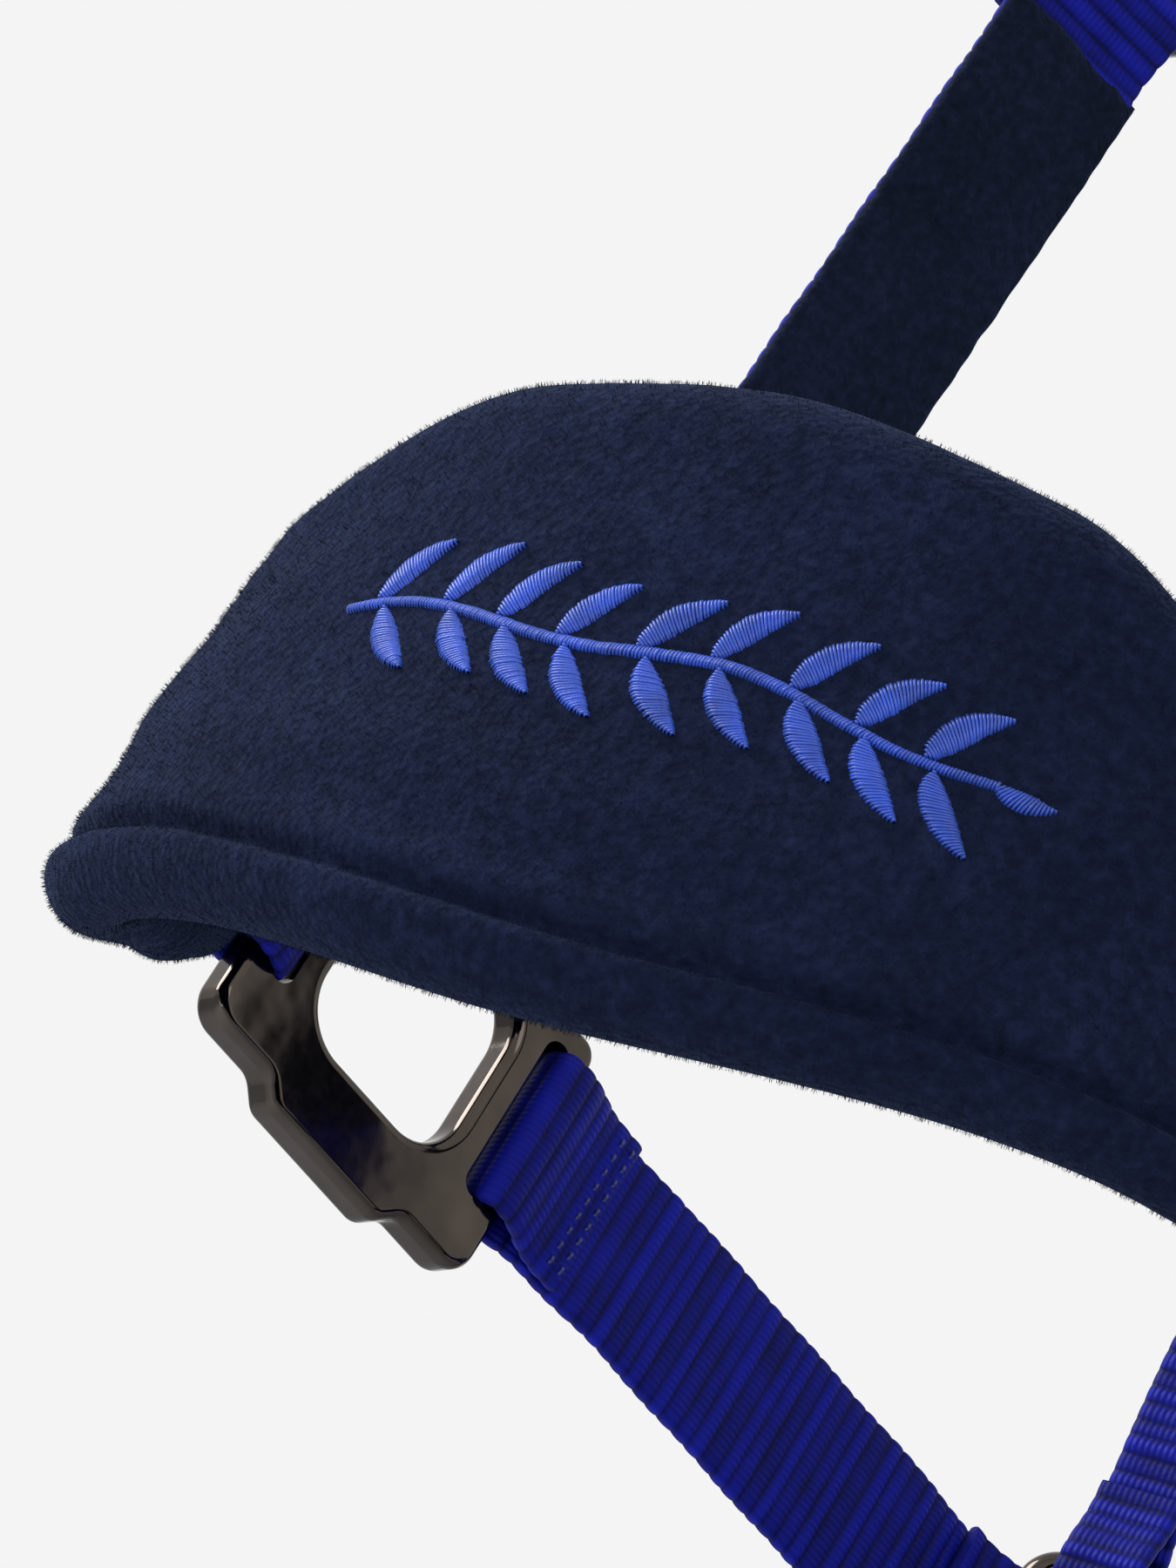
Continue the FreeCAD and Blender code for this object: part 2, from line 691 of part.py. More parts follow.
add_shape("crown_buckle_tongue", placed(tongue.Solids[0]))

buckle_ring_tab = ring_tab(upper_place["near"], "rear", crown_up, FLAP)
bar_up_frame = bar_frame(at(buckle_place, LOW_BAR, 0), crown_up * -1, buckle_across)
bar_tab = tab(bar_up_frame, WIRE, WIRE, FLAP)
notch = Part.makeBox(14, 16, TONGUE_WIDTH + 1.6, Vector(LOW_BAR - 6.4, -8, -TONGUE_WIDTH / 2 - 0.8))
bar_tab = bar_tab.cut(placed(notch))
strip = ribbon([tail_station(buckle_ring_tab[1], FLAP),
                reversed_station(tail_station(bar_up_frame, FLAP))])
add_shape("buckle_strap", one_solid([buckle_ring_tab[0], strip, bar_tab]))


# ---------------------------------------------------------------- crown strap and pad

THICK = dim("WebThick")
UNDER = -(ROLLER + 0.35 + THICK / 2)
OVER = WIRE + dim("Gap") + THICK + 0.35 + THICK / 2
LAID = THICK + 0.35 + THICK / 2
TIP_AT = BAR_CENTRE + 9.0
billet_route = [
    (TIP_AT, LAID + 1.6), (TIP_AT + 8, LAID), (LOW_BAR - 13, LAID), (LOW_BAR - 5, OVER),
    (LOW_BAR + 4, OVER), (HIGH_BAR - 4, UNDER), (HIGH_BAR + 5, UNDER), (HIGH_BAR + 46, 0)]


def crown_stations():
    """Stations from the off upper ring, over the poll, down to the billet's tip."""
    off_tab = ring_tab(upper_place["off"], "rear",
                       unit(arch_centre - X_AXIS * CROWN_RADIUS - upper_centre["off"]), FLAP)
    stations = [tail_station(off_tab[1], FLAP)]
    for step in range(0, 13):
        angle = math.radians(180 - 15 * step)
        centre = arch_centre + Vector(math.cos(angle), 0, math.sin(angle)) * CROWN_RADIUS
        along = Vector(math.sin(angle), 0, -math.cos(angle))
        stations.append((centre, along, Y_AXIS, WEB))
    stations[0] = (stations[0][0], stations[0][1], stations[0][2], WEB)
    for index in reversed(range(len(billet_route))):
        x, y = billet_route[index]
        before = billet_route[min(index + 1, len(billet_route) - 1)]
        after = billet_route[max(index - 1, 0)]
        along = unit(turned(buckle_place, Vector(after[0] - before[0], after[1] - before[1], 0)))
        stations.append((at(buckle_place, x, y), along, buckle_across, WEB))
    if stations[0][2].dot(Y_AXIS) < 0:
        first = stations[0]
        stations[0] = (first[0], first[1], first[2] * -1, first[3])
    return off_tab, stations


off_crown_tab, crown_path = crown_stations()
crown = one_solid([ribbon(crown_path, ruled=True), off_crown_tab[0]])
slot_low = LOW_BAR + 1.5
slot_high = LOW_BAR + 17.0
SLOT_ROUND = TONGUE_WIDTH / 2 + 0.8
engaged = outline_face(rectangle(slot_low, slot_high, -SLOT_ROUND, SLOT_ROUND),
                       [SLOT_ROUND * 0.95] * 4).extrude(Vector(0, 0, 30))
engaged.translate(Vector(0, 0, -15))
engaged.rotate(Vector(0, 0, 0), X_AXIS, 90)
crown = crown.cut(placed(engaged))

EYELET_RIM = 1.9
strap_top = at(buckle_place, *billet_route[-1])
strap_low = at(buckle_place, *billet_route[-2])
eyelet_way = unit(strap_top - strap_low)
eyelet_normal = unit(buckle_across.cross(eyelet_way))
eyelets = []
for index in range(2):
    centre = strap_low + eyelet_way * (8 + dim("EyeletPitch") * index)
    hole = Part.makeCylinder(dim("EyeletHole") / 2 + 1.0, 12, centre - eyelet_normal * 6,
                             eyelet_normal)
    crown = crown.cut(hole)
    outer = Part.makeCylinder(dim("EyeletHole") / 2 + 0.95, THICK + 1.2,
                              centre - eyelet_normal * (THICK / 2 + 0.6), eyelet_normal)
    for face_side in (-1, 1):
        flange = Part.makeCylinder(dim("EyeletHole") / 2 + EYELET_RIM, 0.55,
                                   centre + eyelet_normal * face_side * (THICK / 2 + 0.05),
                                   eyelet_normal * face_side)
        outer = outer.fuse(flange)
    bore = Part.makeCylinder(dim("EyeletHole") / 2, 12, centre - eyelet_normal * 6, eyelet_normal)
    eyelets.append(outer.cut(bore).Solids[0])
add_shape("crown_strap", max(crown.Solids, key=lambda item: item.Volume))
add_shape("crown_eyelets", Part.makeCompound(eyelets))

pad_path = []
LINING_RADIUS = POLL_RADIUS + dim("CrownPadThick") / 2
for step in range(0, 13):
    angle = math.radians(180 - 15 * step)
    centre = arch_centre + Vector(math.cos(angle), 0, math.sin(angle)) * LINING_RADIUS
    along = Vector(math.sin(angle), 0, -math.cos(angle))
    pad_path.append((centre, along, Y_AXIS, dim("CrownPadWidth")))
add_shape("crown_pad", ribbon(pad_path, thick=dim("CrownPadThick"), ruled=True))

keeper_inner_low = -(THICK + 2 * dim("Gap"))
keeper_inner_high = LAID + THICK / 2 + 2 * dim("Gap")
KEEPER_AT = (TIP_AT + LOW_BAR - 13) / 2 + 2.4
wall = dim("KeeperWall")
half_web = WEB / 2 + 4 * dim("Gap")
outer = Part.makeBox(dim("KeeperLength"), keeper_inner_high - keeper_inner_low + 2 * wall,
                     2 * half_web + 2 * wall,
                     Vector(KEEPER_AT - dim("KeeperLength") / 2, keeper_inner_low - wall,
                            -half_web - wall))
inner = Part.makeBox(dim("KeeperLength") + 4, keeper_inner_high - keeper_inner_low, 2 * half_web,
                     Vector(KEEPER_AT - dim("KeeperLength") / 2 - 2, keeper_inner_low, -half_web))
add_shape("crown_keeper", placed(outer.cut(inner)))


# ---------------------------------------------------------------- chin slide, near side

slide_start, slide_end = chin_ends["near"]
slide_way = unit(slide_end - slide_start)
SLIDE_LENGTH = 12.0
slide_centre = slide_start + (slide_end - slide_start) * 0.62
slide_place = frame_at(slide_centre, slide_way, CHIN_ACROSS)
slide_wall = 2.4
slide_inner_y = THICK / 2 + 0.4
slide_inner_z = WEB / 2 + 0.5
outer = Part.makeBox(SLIDE_LENGTH, 2 * (slide_inner_y + slide_wall), 2 * (slide_inner_z + slide_wall),
                     Vector(-SLIDE_LENGTH / 2, -slide_inner_y - slide_wall,
                            -slide_inner_z - slide_wall))
outer = outer.makeFillet(1.0, outer.Edges)
inner = Part.makeBox(SLIDE_LENGTH + 4, 2 * slide_inner_y, 2 * slide_inner_z,
                     Vector(-SLIDE_LENGTH / 2 - 2, -slide_inner_y, -slide_inner_z))
add_shape("chin_slide", outer.cut(inner), slide_place)


# ---------------------------------------------------------------- trigger snap, near side

SNAP_WIRE = 1.8
HOOK_RADIUS = dim("SnapHook") / 2 + SNAP_WIRE
snap_grip = at(upper_place["near"], 0, (dim("RingOpening") / 2 + RING_REACH) / 2)
snap_place = bar_frame(snap_grip, Y_AXIS, turned(upper_place["near"], X_AXIS))
BARREL_LOW = 16.0
BARREL_HIGH = BARREL_LOW + dim("SnapLength")
BORE_END = BARREL_HIGH - 4.0
BORE = dim("SnapBore") / 2
BARREL = dim("SnapBarrel") / 2
STEM = 2.1
HEAD = BORE - 0.4
KNOB_AT = BARREL_LOW + 6.5
KNOB = 2.1


def along_x(radius, low, high, y=0.0):
    return Part.makeCylinder(radius, high - low, Vector(low, y, 0), X_AXIS)


def pipe(points, radii, radius):
    """Round wire along straight runs joined by arcs."""
    edges = []
    last = Vector(points[0])
    for index in range(1, len(points) - 1):
        corner = Vector(points[index])
        to_before = unit(Vector(points[index - 1]) - corner)
        to_after = unit(Vector(points[index + 1]) - corner)
        half = to_before.getAngle(to_after) / 2
        bend = radii[index - 1]
        setback = bend / math.tan(half)
        bisector = unit(to_before + to_after)
        first = corner + to_before * setback
        edges.append(Part.LineSegment(last, first).toShape())
        last = corner + to_after * setback
        middle = corner + bisector * (bend / math.sin(half) - bend)
        edges.append(Part.Arc(first, middle, last).toShape())
    edges.append(Part.LineSegment(last, Vector(points[-1])).toShape())
    start = unit(Vector(points[1]) - Vector(points[0]))
    profile = Part.Wire(Part.makeCircle(radius, Vector(points[0]), start))
    return Part.Wire(edges).makePipeShell([profile], True, False)


hook_seat = HOOK_RADIUS - BARREL - SNAP_WIRE * 0.1
hook = pipe([(BARREL_LOW + 14, hook_seat, 0), (BARREL_LOW + 5, hook_seat, 0),
             (BARREL_LOW - 6, -HOOK_RADIUS, 0), (-2 - HOOK_RADIUS, -HOOK_RADIUS, 0),
             (-2 - HOOK_RADIUS, HOOK_RADIUS, 0), (2.0, HOOK_RADIUS, 0)],
            [4.0, 4.0, HOOK_RADIUS - 0.01, HOOK_RADIUS - 0.01], SNAP_WIRE)
barrel = along_x(BARREL, BARREL_LOW, BARREL_HIGH, HOOK_RADIUS)
knob_way = Part.makeBox(dim("SnapTravel") + 2 * KNOB + 0.6, BARREL + 2, 2 * KNOB + 0.6,
                        Vector(KNOB_AT - KNOB - 0.3, HOOK_RADIUS, -KNOB - 0.3))
snap_body = barrel.fuse(hook)
snap_body = snap_body.cut(along_x(BORE, BARREL_LOW - 1, BORE_END, HOOK_RADIUS))
snap_body = snap_body.cut(along_x(STEM + dim("RunGap"), BORE_END - 1, BARREL_HIGH + 1, HOOK_RADIUS))
snap_body = snap_body.cut(knob_way)
add_shape("snap_body", max(snap_body.Solids, key=lambda item: item.Volume), snap_place)

BOLT_TIP = 2.3
BOLT_END = BARREL_LOW + 13.0
bolt = along_x(BORE - dim("RunGap"), BOLT_TIP, BOLT_END, HOOK_RADIUS)
knob = Part.makeCylinder(KNOB, 7.2, Vector(KNOB_AT, HOOK_RADIUS + 1, 0), Y_AXIS)
knob_top = Part.makeSphere(2.9, Vector(KNOB_AT, HOOK_RADIUS + 9.4, 0))
add_shape("snap_bolt", one_solid([bolt, knob, knob_top]), snap_place)

HEAD_LOW = BORE_END - 2.6
spring_free = HEAD_LOW - BOLT_END - dim("SnapTravel") - 0.4
SPRING_WIRE = 0.4
SPRING_RADIUS = BORE - 0.9
SPRING_PITCH = 1.9
spring_turns = int((spring_free - 2 * SPRING_WIRE) / SPRING_PITCH)
coil_points = []
for step in range(12 * spring_turns + 1):
    angle = step * math.pi / 6
    coil_points.append(Vector(SPRING_RADIUS * math.cos(angle), SPRING_RADIUS * math.sin(angle),
                              SPRING_PITCH * step / 12))
coil = Part.BSplineCurve()
coil.interpolate(coil_points)
coil_profile = Part.Wire(Part.makeCircle(SPRING_WIRE, coil_points[0], coil.tangent(0)[0]))
spring = Part.Wire(coil.toShape()).makePipeShell([coil_profile], True, True)
spring_turn = Placement(Vector(HEAD_LOW - spring_free + 0.2, HOOK_RADIUS, 0),
                        FreeCAD.Rotation(Y_AXIS, 90))
add_shape("snap_spring", spring, snap_place.multiply(spring_turn))

EYE_NEAR = BARREL_HIGH + 4.5
EYE_HALF = 5.5
EYE_BAR = EYE_NEAR + 2 * EYE_HALF
eye_frame = frame_solid(EYE_HALF, WEB / 2 + 2.8, 2.0, 3.2)
eye_frame.rotate(Vector(0, 0, 0), X_AXIS, 90)
eye_frame.translate(Vector(EYE_NEAR + EYE_HALF, HOOK_RADIUS, 0))
stem = along_x(STEM, HEAD_LOW, EYE_NEAR, HOOK_RADIUS)
head = along_x(HEAD, HEAD_LOW, BORE_END - 0.1, HOOK_RADIUS)
collar = along_x(4.2, BARREL_HIGH + 0.15, EYE_NEAR, HOOK_RADIUS)
add_shape("snap_swivel", one_solid([eye_frame, stem, head, collar]), snap_place)


# ---------------------------------------------------------------- throat and jaw straps

THROAT_ROUND = 6.0
level_off = turned(upper_place["off"], Y_AXIS)
off_throat = ring_tab(upper_place["off"], "side", unit(level_off + Y_AXIS), FLAP)
eye_frame_place = bar_frame(at(snap_place, EYE_BAR, HOOK_RADIUS), Y_AXIS,
                            turned(snap_place, Z_AXIS))
eye_tab = tab(eye_frame_place, 2.0, 2.0, FLAP)
off_tail = at(off_throat[1], FLAP - 2, 0)
near_tail = at(eye_frame_place, FLAP - 2, 0)
reach = dim("ThroatReach")
bottom = UPPER_LEVEL - dim("ThroatDrop")
half_gap = 17.0
wide = 33.0
route = [
    off_tail, Vector(-wide + 2, reach * 0.6, UPPER_LEVEL - 6),
    Vector(-wide, reach - 14, UPPER_LEVEL - 42), Vector(-half_gap, reach, bottom),
    Vector(half_gap, reach, bottom), Vector(wide, reach - 2, UPPER_LEVEL - 44),
    Vector(near_tail.x + 0.6, reach - 5, UPPER_LEVEL - 3), near_tail]
bends = []
for index in range(1, len(route) - 1):
    before = route[index - 1] - route[index]
    after = route[index + 1] - route[index]
    half = before.getAngle(after) / 2
    bends.append(0.45 * min(before.Length, after.Length) * math.tan(half))
rolled = pipe(route, bends, THROAT_ROUND)
add_shape("throat_strap", one_solid([rolled, off_throat[0], eye_tab]))

jaw_low_frame = bar_frame(at(link_place, 0, LINK_HALF), Vector(0, 0.1, 1), X_AXIS)
throat_bottom = Vector(0, reach, bottom)
jaw_high_frame = bar_frame(throat_bottom, jaw_low_frame.Base - throat_bottom, X_AXIS)
jaw_low_frame = bar_frame(jaw_low_frame.Base, throat_bottom - jaw_low_frame.Base, X_AXIS)
JAW_FLAP = 22.0
jaw_low = tab(jaw_low_frame, WIRE, WIRE, FLAP, dim("JawWidth"))
jaw_high = tab(jaw_high_frame, THROAT_ROUND + 0.5, THROAT_ROUND + 0.5, JAW_FLAP, dim("JawWidth"))
jaw_path = [tail_station(jaw_low_frame, FLAP, dim("JawWidth")),
            reversed_station(tail_station(jaw_high_frame, JAW_FLAP, dim("JawWidth")))]
add_shape("jaw_strap", one_solid([jaw_low, ribbon(jaw_path), jaw_high]))


# ---------------------------------------------------------------- checks and files

doc.recompute()
for item in doc.Objects:
    if {"Invalid", "Error"} & set(item.State):
        raise RuntimeError(f"{item.Label} failed: {item.State}")
os.makedirs("parts", exist_ok=True)
for item in nodes:
    if item.Shape.isNull() or not item.Shape.isValid():
        raise RuntimeError(f"{item.Label} has no valid shape")
for item in nodes:
    item.Shape.exportStep(f"parts/{item.Label}.step")
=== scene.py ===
"""Looks of the horse headcollar: fleece noseband, gunmetal rings and ribbed webbing."""
import json
import bisect
import math
import random

import bpy
from mathutils import Matrix, Vector, noise


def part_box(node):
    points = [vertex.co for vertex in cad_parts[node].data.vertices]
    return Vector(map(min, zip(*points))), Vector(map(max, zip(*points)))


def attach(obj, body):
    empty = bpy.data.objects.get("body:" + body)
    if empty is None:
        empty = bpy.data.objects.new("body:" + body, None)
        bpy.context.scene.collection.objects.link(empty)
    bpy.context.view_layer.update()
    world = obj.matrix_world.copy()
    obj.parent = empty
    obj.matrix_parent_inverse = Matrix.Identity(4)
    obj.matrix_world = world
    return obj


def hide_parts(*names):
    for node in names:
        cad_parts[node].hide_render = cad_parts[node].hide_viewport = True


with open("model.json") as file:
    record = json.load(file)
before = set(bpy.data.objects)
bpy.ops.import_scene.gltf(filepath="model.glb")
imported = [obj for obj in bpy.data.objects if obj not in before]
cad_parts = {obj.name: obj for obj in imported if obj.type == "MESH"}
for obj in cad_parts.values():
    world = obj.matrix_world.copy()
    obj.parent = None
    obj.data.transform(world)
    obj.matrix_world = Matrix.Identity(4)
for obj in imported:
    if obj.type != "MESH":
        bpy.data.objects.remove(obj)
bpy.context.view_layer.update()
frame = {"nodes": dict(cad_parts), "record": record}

MM = 0.001
RNG = random.Random(7)
MOUNTS = {mount["name"]: mount for mount in frame["record"]["mounts"]}
SIDES = {"off": -1.0, "near": 1.0}

# Driving sizes in metres, the same as the solids'
WEB_WIDTH = 25.0 * MM
WEB_THICK = 2.2 * MM
GAP = 0.3 * MM
FLAP = 14.0 * MM
RIB_PITCH = 2.8 * MM
RING_OPENING = 28.5 * MM
RING_WEB = 4.4 * MM
SLOT_WIDTH = 4.6 * MM
RING_BAR = 3.4 * MM
RING_THICK = 6.0 * MM
CHEEK_LEAN = math.radians(6.5)
CHEEK_LENGTH = 208.0 * MM
CROWN_RISE = 196.0 * MM
NOSE_REACH = 109.0 * MM
PAD_THICK = 17.0 * MM
PAD_HEIGHT = 90.0 * MM
PAD_SIDE_HEIGHT = 70.0 * MM
PAD_END_HEIGHT = 36.0 * MM
LINK_WIRE = 5.0 * MM
LINK_WIDTH = 24.0 * MM
LINK_HALF = 18.0 * MM
JAW_WIDTH = 12.0 * MM
THROAT_RADIUS = 6.0 * MM
BUCKLE_LOW = 70.0 * MM
BUCKLE_HIGH = 100.0 * MM

SLOT_CENTRE = RING_OPENING / 2 + RING_WEB + SLOT_WIDTH / 2
BAR_CENTRE = SLOT_CENTRE + SLOT_WIDTH / 2 + RING_BAR / 2
RING_REACH = BAR_CENTRE + RING_BAR / 2

X_AXIS = Vector((1, 0, 0))
Y_AXIS = Vector((0, 1, 0))
Z_AXIS = Vector((0, 0, 1))


# ---- places

def unit(vector):
    return vector.normalized()


def frame_at(origin, along, across):
    """A matrix with X along a strap, Z across its width and Y through its thickness."""
    x_dir = unit(along)
    z_dir = unit(across - x_dir * across.dot(x_dir))
    y_dir = z_dir.cross(x_dir)
    columns = Matrix((x_dir, y_dir, z_dir)).transposed()
    return Matrix.Translation(origin) @ columns.to_4x4()


def bar_frame(origin, along, bar_axis):
    """As frame_at, but the bar's axis is kept and the direction is made square to it."""
    z_dir = unit(bar_axis)
    return frame_at(origin, along - z_dir * along.dot(z_dir), z_dir)


def at(place, x, y, z=0.0):
    return place @ Vector((x, y, z))


def turned(place, vector):
    return place.to_3x3() @ vector


ring_centre = {name: Vector(MOUNTS[f"{name}_side_ring_eye"]["pos_m"]) for name in SIDES}
ring_normal = {name: Vector(MOUNTS[f"{name}_side_ring_eye"]["axis"]) for name in SIDES}
RING_LEVEL = ring_centre["off"].z
chin_across = unit(ring_normal["near"].cross(ring_normal["off"]))
if chin_across.z < 0:
    chin_across = -chin_across
CHIN_ACROSS = unit(Vector((0, chin_across.y, chin_across.z)))


def chin_way(side):
    """Direction of a chin strap, from its ring to the chin."""
    name = "near" if side > 0 else "off"
    way = ring_normal[name].cross(CHIN_ACROSS)
    return unit(way if way.y > 0 else -way)


ring_place = {}
upper_place = {}
for name, side in SIDES.items():
    way = chin_way(side)
    ring_place[name] = frame_at(ring_centre[name], way, way.cross(CHIN_ACROSS))
    spread = abs(ring_centre[name].x) - CHEEK_LENGTH * math.sin(CHEEK_LEAN)
    upper_centre = Vector((side * spread, 0, -CROWN_RISE))
    level_way = unit(Vector((way.x, way.y, 0)))
    rise = unit(upper_centre - ring_centre[name])
    upward = unit(rise - level_way * rise.dot(level_way))
    upper_place[name] = frame_at(upper_centre, upward, upward.cross(level_way))


# ---- camera and light

VIEW_WAY = unit(Vector((-0.443, 0.795, 0.414)))
VIEW_ROLL = math.radians(27.5)
LENS = 200.0
SENSOR = 36.0
VIEW_HEIGHT = 204.48 * MM  # what the picture spans from top to bottom, at the off side ring
CAMERA_DISTANCE = LENS / SENSOR * VIEW_HEIGHT
AIM_RIGHT = 23.6 * MM
AIM_UP = 30.1 * MM
FAR_CLIP = 50.0


def make_camera():
    """A long lens below the noseband, looking up past it to the crown."""
    level_right = unit(VIEW_WAY.cross(Z_AXIS))
    level_up = level_right.cross(VIEW_WAY)
    right = level_right * math.cos(VIEW_ROLL) + level_up * math.sin(VIEW_ROLL)
    up = level_up * math.cos(VIEW_ROLL) - level_right * math.sin(VIEW_ROLL)
    aim = ring_centre["off"] + right * AIM_RIGHT + up * AIM_UP
    place = aim - VIEW_WAY * CAMERA_DISTANCE
    data = bpy.data.cameras.new("camera")
    data.lens = LENS
    data.sensor_width = SENSOR
    data.clip_end = FAR_CLIP
    camera = bpy.data.objects.new("camera", data)
    bpy.context.scene.collection.objects.link(camera)
    columns = Matrix((right, up, -VIEW_WAY)).transposed()
    camera.matrix_world = Matrix.Translation(place) @ columns.to_4x4()
    bpy.context.scene.camera = camera
    return right, up


camera_right, camera_up = make_camera()


LAMP_TARGET = Vector((0, 0, RING_LEVEL + 60 * MM))
LAMPS = (
    # name, direction from the noseband, distance, size and power
    ("key", camera_up * 0.9 - camera_right * 0.75 + VIEW_WAY * 0.35, 1.6, 1.0, 26.0),
    ("fill", camera_right * 0.6 + camera_up * 0.5 - VIEW_WAY * 0.9, 1.8, 1.2, 7.0),
    ("front", -VIEW_WAY - camera_right * 0.4 + camera_up * 0.5, 1.9, 1.4, 9.0),
)


def area_light(name, toward, distance, size, power):
    """A soft lamp in a direction from the noseband, aimed at it."""
    data = bpy.data.lights.new(name, "AREA")
    data.shape = "DISK"
    data.size = size
    data.energy = power
    lamp = bpy.data.objects.new(name, data)
    bpy.context.scene.collection.objects.link(lamp)
    lamp.location = LAMP_TARGET + unit(toward) * distance
    lamp.rotation_euler = (LAMP_TARGET - lamp.location).to_track_quat("-Z", "Y").to_euler()


BACKDROP = (0.905, 0.905, 0.905, 1)
SKY = (0.86, 0.92, 1.0, 1)
SKY_STRENGTH = 0.55


def make_world():
    """Plain pale light; camera, glossy and transmission rays see the backdrop's grey."""
    world = bpy.data.worlds.new("world")
    bpy.context.scene.world = world
    world.use_nodes = True
    nodes = world.node_tree.nodes
    links = world.node_tree.links
    nodes.clear()
    rays = nodes.new("ShaderNodeLightPath").outputs
    plain = rays["Is Camera Ray"]
    for kind in ("Is Transmission Ray", "Is Glossy Ray"):
        either = nodes.new("ShaderNodeMath")
        either.operation = "MAXIMUM"
        links.new(plain, either.inputs[0])
        links.new(rays[kind], either.inputs[1])
        plain = either.outputs[0]
    mix = nodes.new("ShaderNodeMixShader")
    links.new(plain, mix.inputs[0])
    for place, (color, strength) in enumerate(((SKY, SKY_STRENGTH), (BACKDROP, 1.0)), 1):
        background = nodes.new("ShaderNodeBackground")
        background.inputs["Color"].default_value = color
        background.inputs["Strength"].default_value = strength
        links.new(background.outputs[0], mix.inputs[place])
    output = nodes.new("ShaderNodeOutputWorld")
    links.new(mix.outputs[0], output.inputs["Surface"])


make_world()
for lamp_values in LAMPS:
    area_light(*lamp_values)
bpy.context.scene.view_settings.view_transform = "Standard"


# ---- materials

class Shader:
    """A small builder for procedural materials."""

    def __init__(self, name):
        self.material = bpy.data.materials.new(name)
        self.material.use_nodes = True
        self.nodes = self.material.node_tree.nodes
        self.links = self.material.node_tree.links
        self.surface = self.nodes["Principled BSDF"]

    def set(self, **values):
        for key, value in values.items():
            self.surface.inputs[key.replace("_", " ")].default_value = value

    def node(self, kind, inputs=None, **settings):
        node = self.nodes.new(kind)
        for key, value in settings.items():
            setattr(node, key, value)
        for key, value in (inputs or {}).items():
            if isinstance(value, bpy.types.NodeSocket):
                self.links.new(value, node.inputs[key])
            else:
                node.inputs[key].default_value = value
        return node

    def ramp(self, factor, stops):
        node = self.node("ShaderNodeValToRGB", {"Fac": factor})
        elements = node.color_ramp.elements
        while len(elements) < len(stops):
            elements.new(0.5)
        for element, (place, color) in zip(elements, stops):
            element.position = place
            element.color = color
        return node.outputs["Color"]

    def math(self, operation, first, second):
        return self.node("ShaderNodeMath", {0: first, 1: second}, operation=operation).outputs[0]

    def blend(self, first, share, second, other):
        """The sum of two values, each times its own share."""
        return self.math("ADD", self.math("MULTIPLY", first, share),
                         self.math("MULTIPLY", second, other))

    def bump(self, height, strength, distance):
        node = self.node("ShaderNodeBump", {"Height": height, "Strength": strength,
                                            "Distance": distance})
        self.links.new(node.outputs["Normal"], self.surface.inputs["Normal"])

    def color(self, socket):
        self.links.new(socket, self.surface.inputs["Base Color"])

    def place(self):
        return self.node("ShaderNodeTexCoord").outputs["Object"]

    def noise(self, vector, scale, detail=3.0, rough=0.5):
        return self.node("ShaderNodeTexNoise", {"Vector": vector, "Scale": scale,
                                                "Detail": detail, "Roughness": rough}).outputs["Fac"]


def shade(color, factor):
    """A colour made lighter or darker."""
    return tuple(min(1.0, channel * factor) for channel in color) + (1.0,)


def fleece_material(name, color, sheen, grain=1.0):
    """Brushed fleece: matted nap whose colour carries painted shade in the low partings and painted
    light on the raised clumps, and a pale grazing sheen.
    """
    shader = Shader(name)
    where = shader.place()
    clumps = shader.noise(where, 520.0 / grain, 4.0, 0.62)
    patches = shader.noise(where, 42.0, 3.0, 0.5)
    fibres = shader.node("ShaderNodeTexVoronoi", {"Vector": where, "Scale": 900.0 / grain,
                                                  "Randomness": 1.0}).outputs["Distance"]
    # colour follows the bump's clumps: painted shade in the low partings, painted light on the
    # raised clumps, with random patches of tone
    mixed = shader.blend(clumps, 0.7, patches, 0.3)
    shader.color(shader.ramp(mixed, [(0.32, shade(color, 0.55)), (0.52, shade(color, 1.0)),
                                     (0.72, shade(color, 1.75))]))
    height = shader.math("ADD", clumps, shader.math("MULTIPLY", fibres, 0.5))
    shader.bump(height, 0.75, 0.0006)
    shader.set(Roughness=0.95, Sheen_Weight=sheen, Sheen_Roughness=0.45,
               Sheen_Tint=(0.32, 0.46, 0.85, 1), Specular_IOR_Level=0.05)
    return shader.material


YARN_PITCH = 0.95 * MM


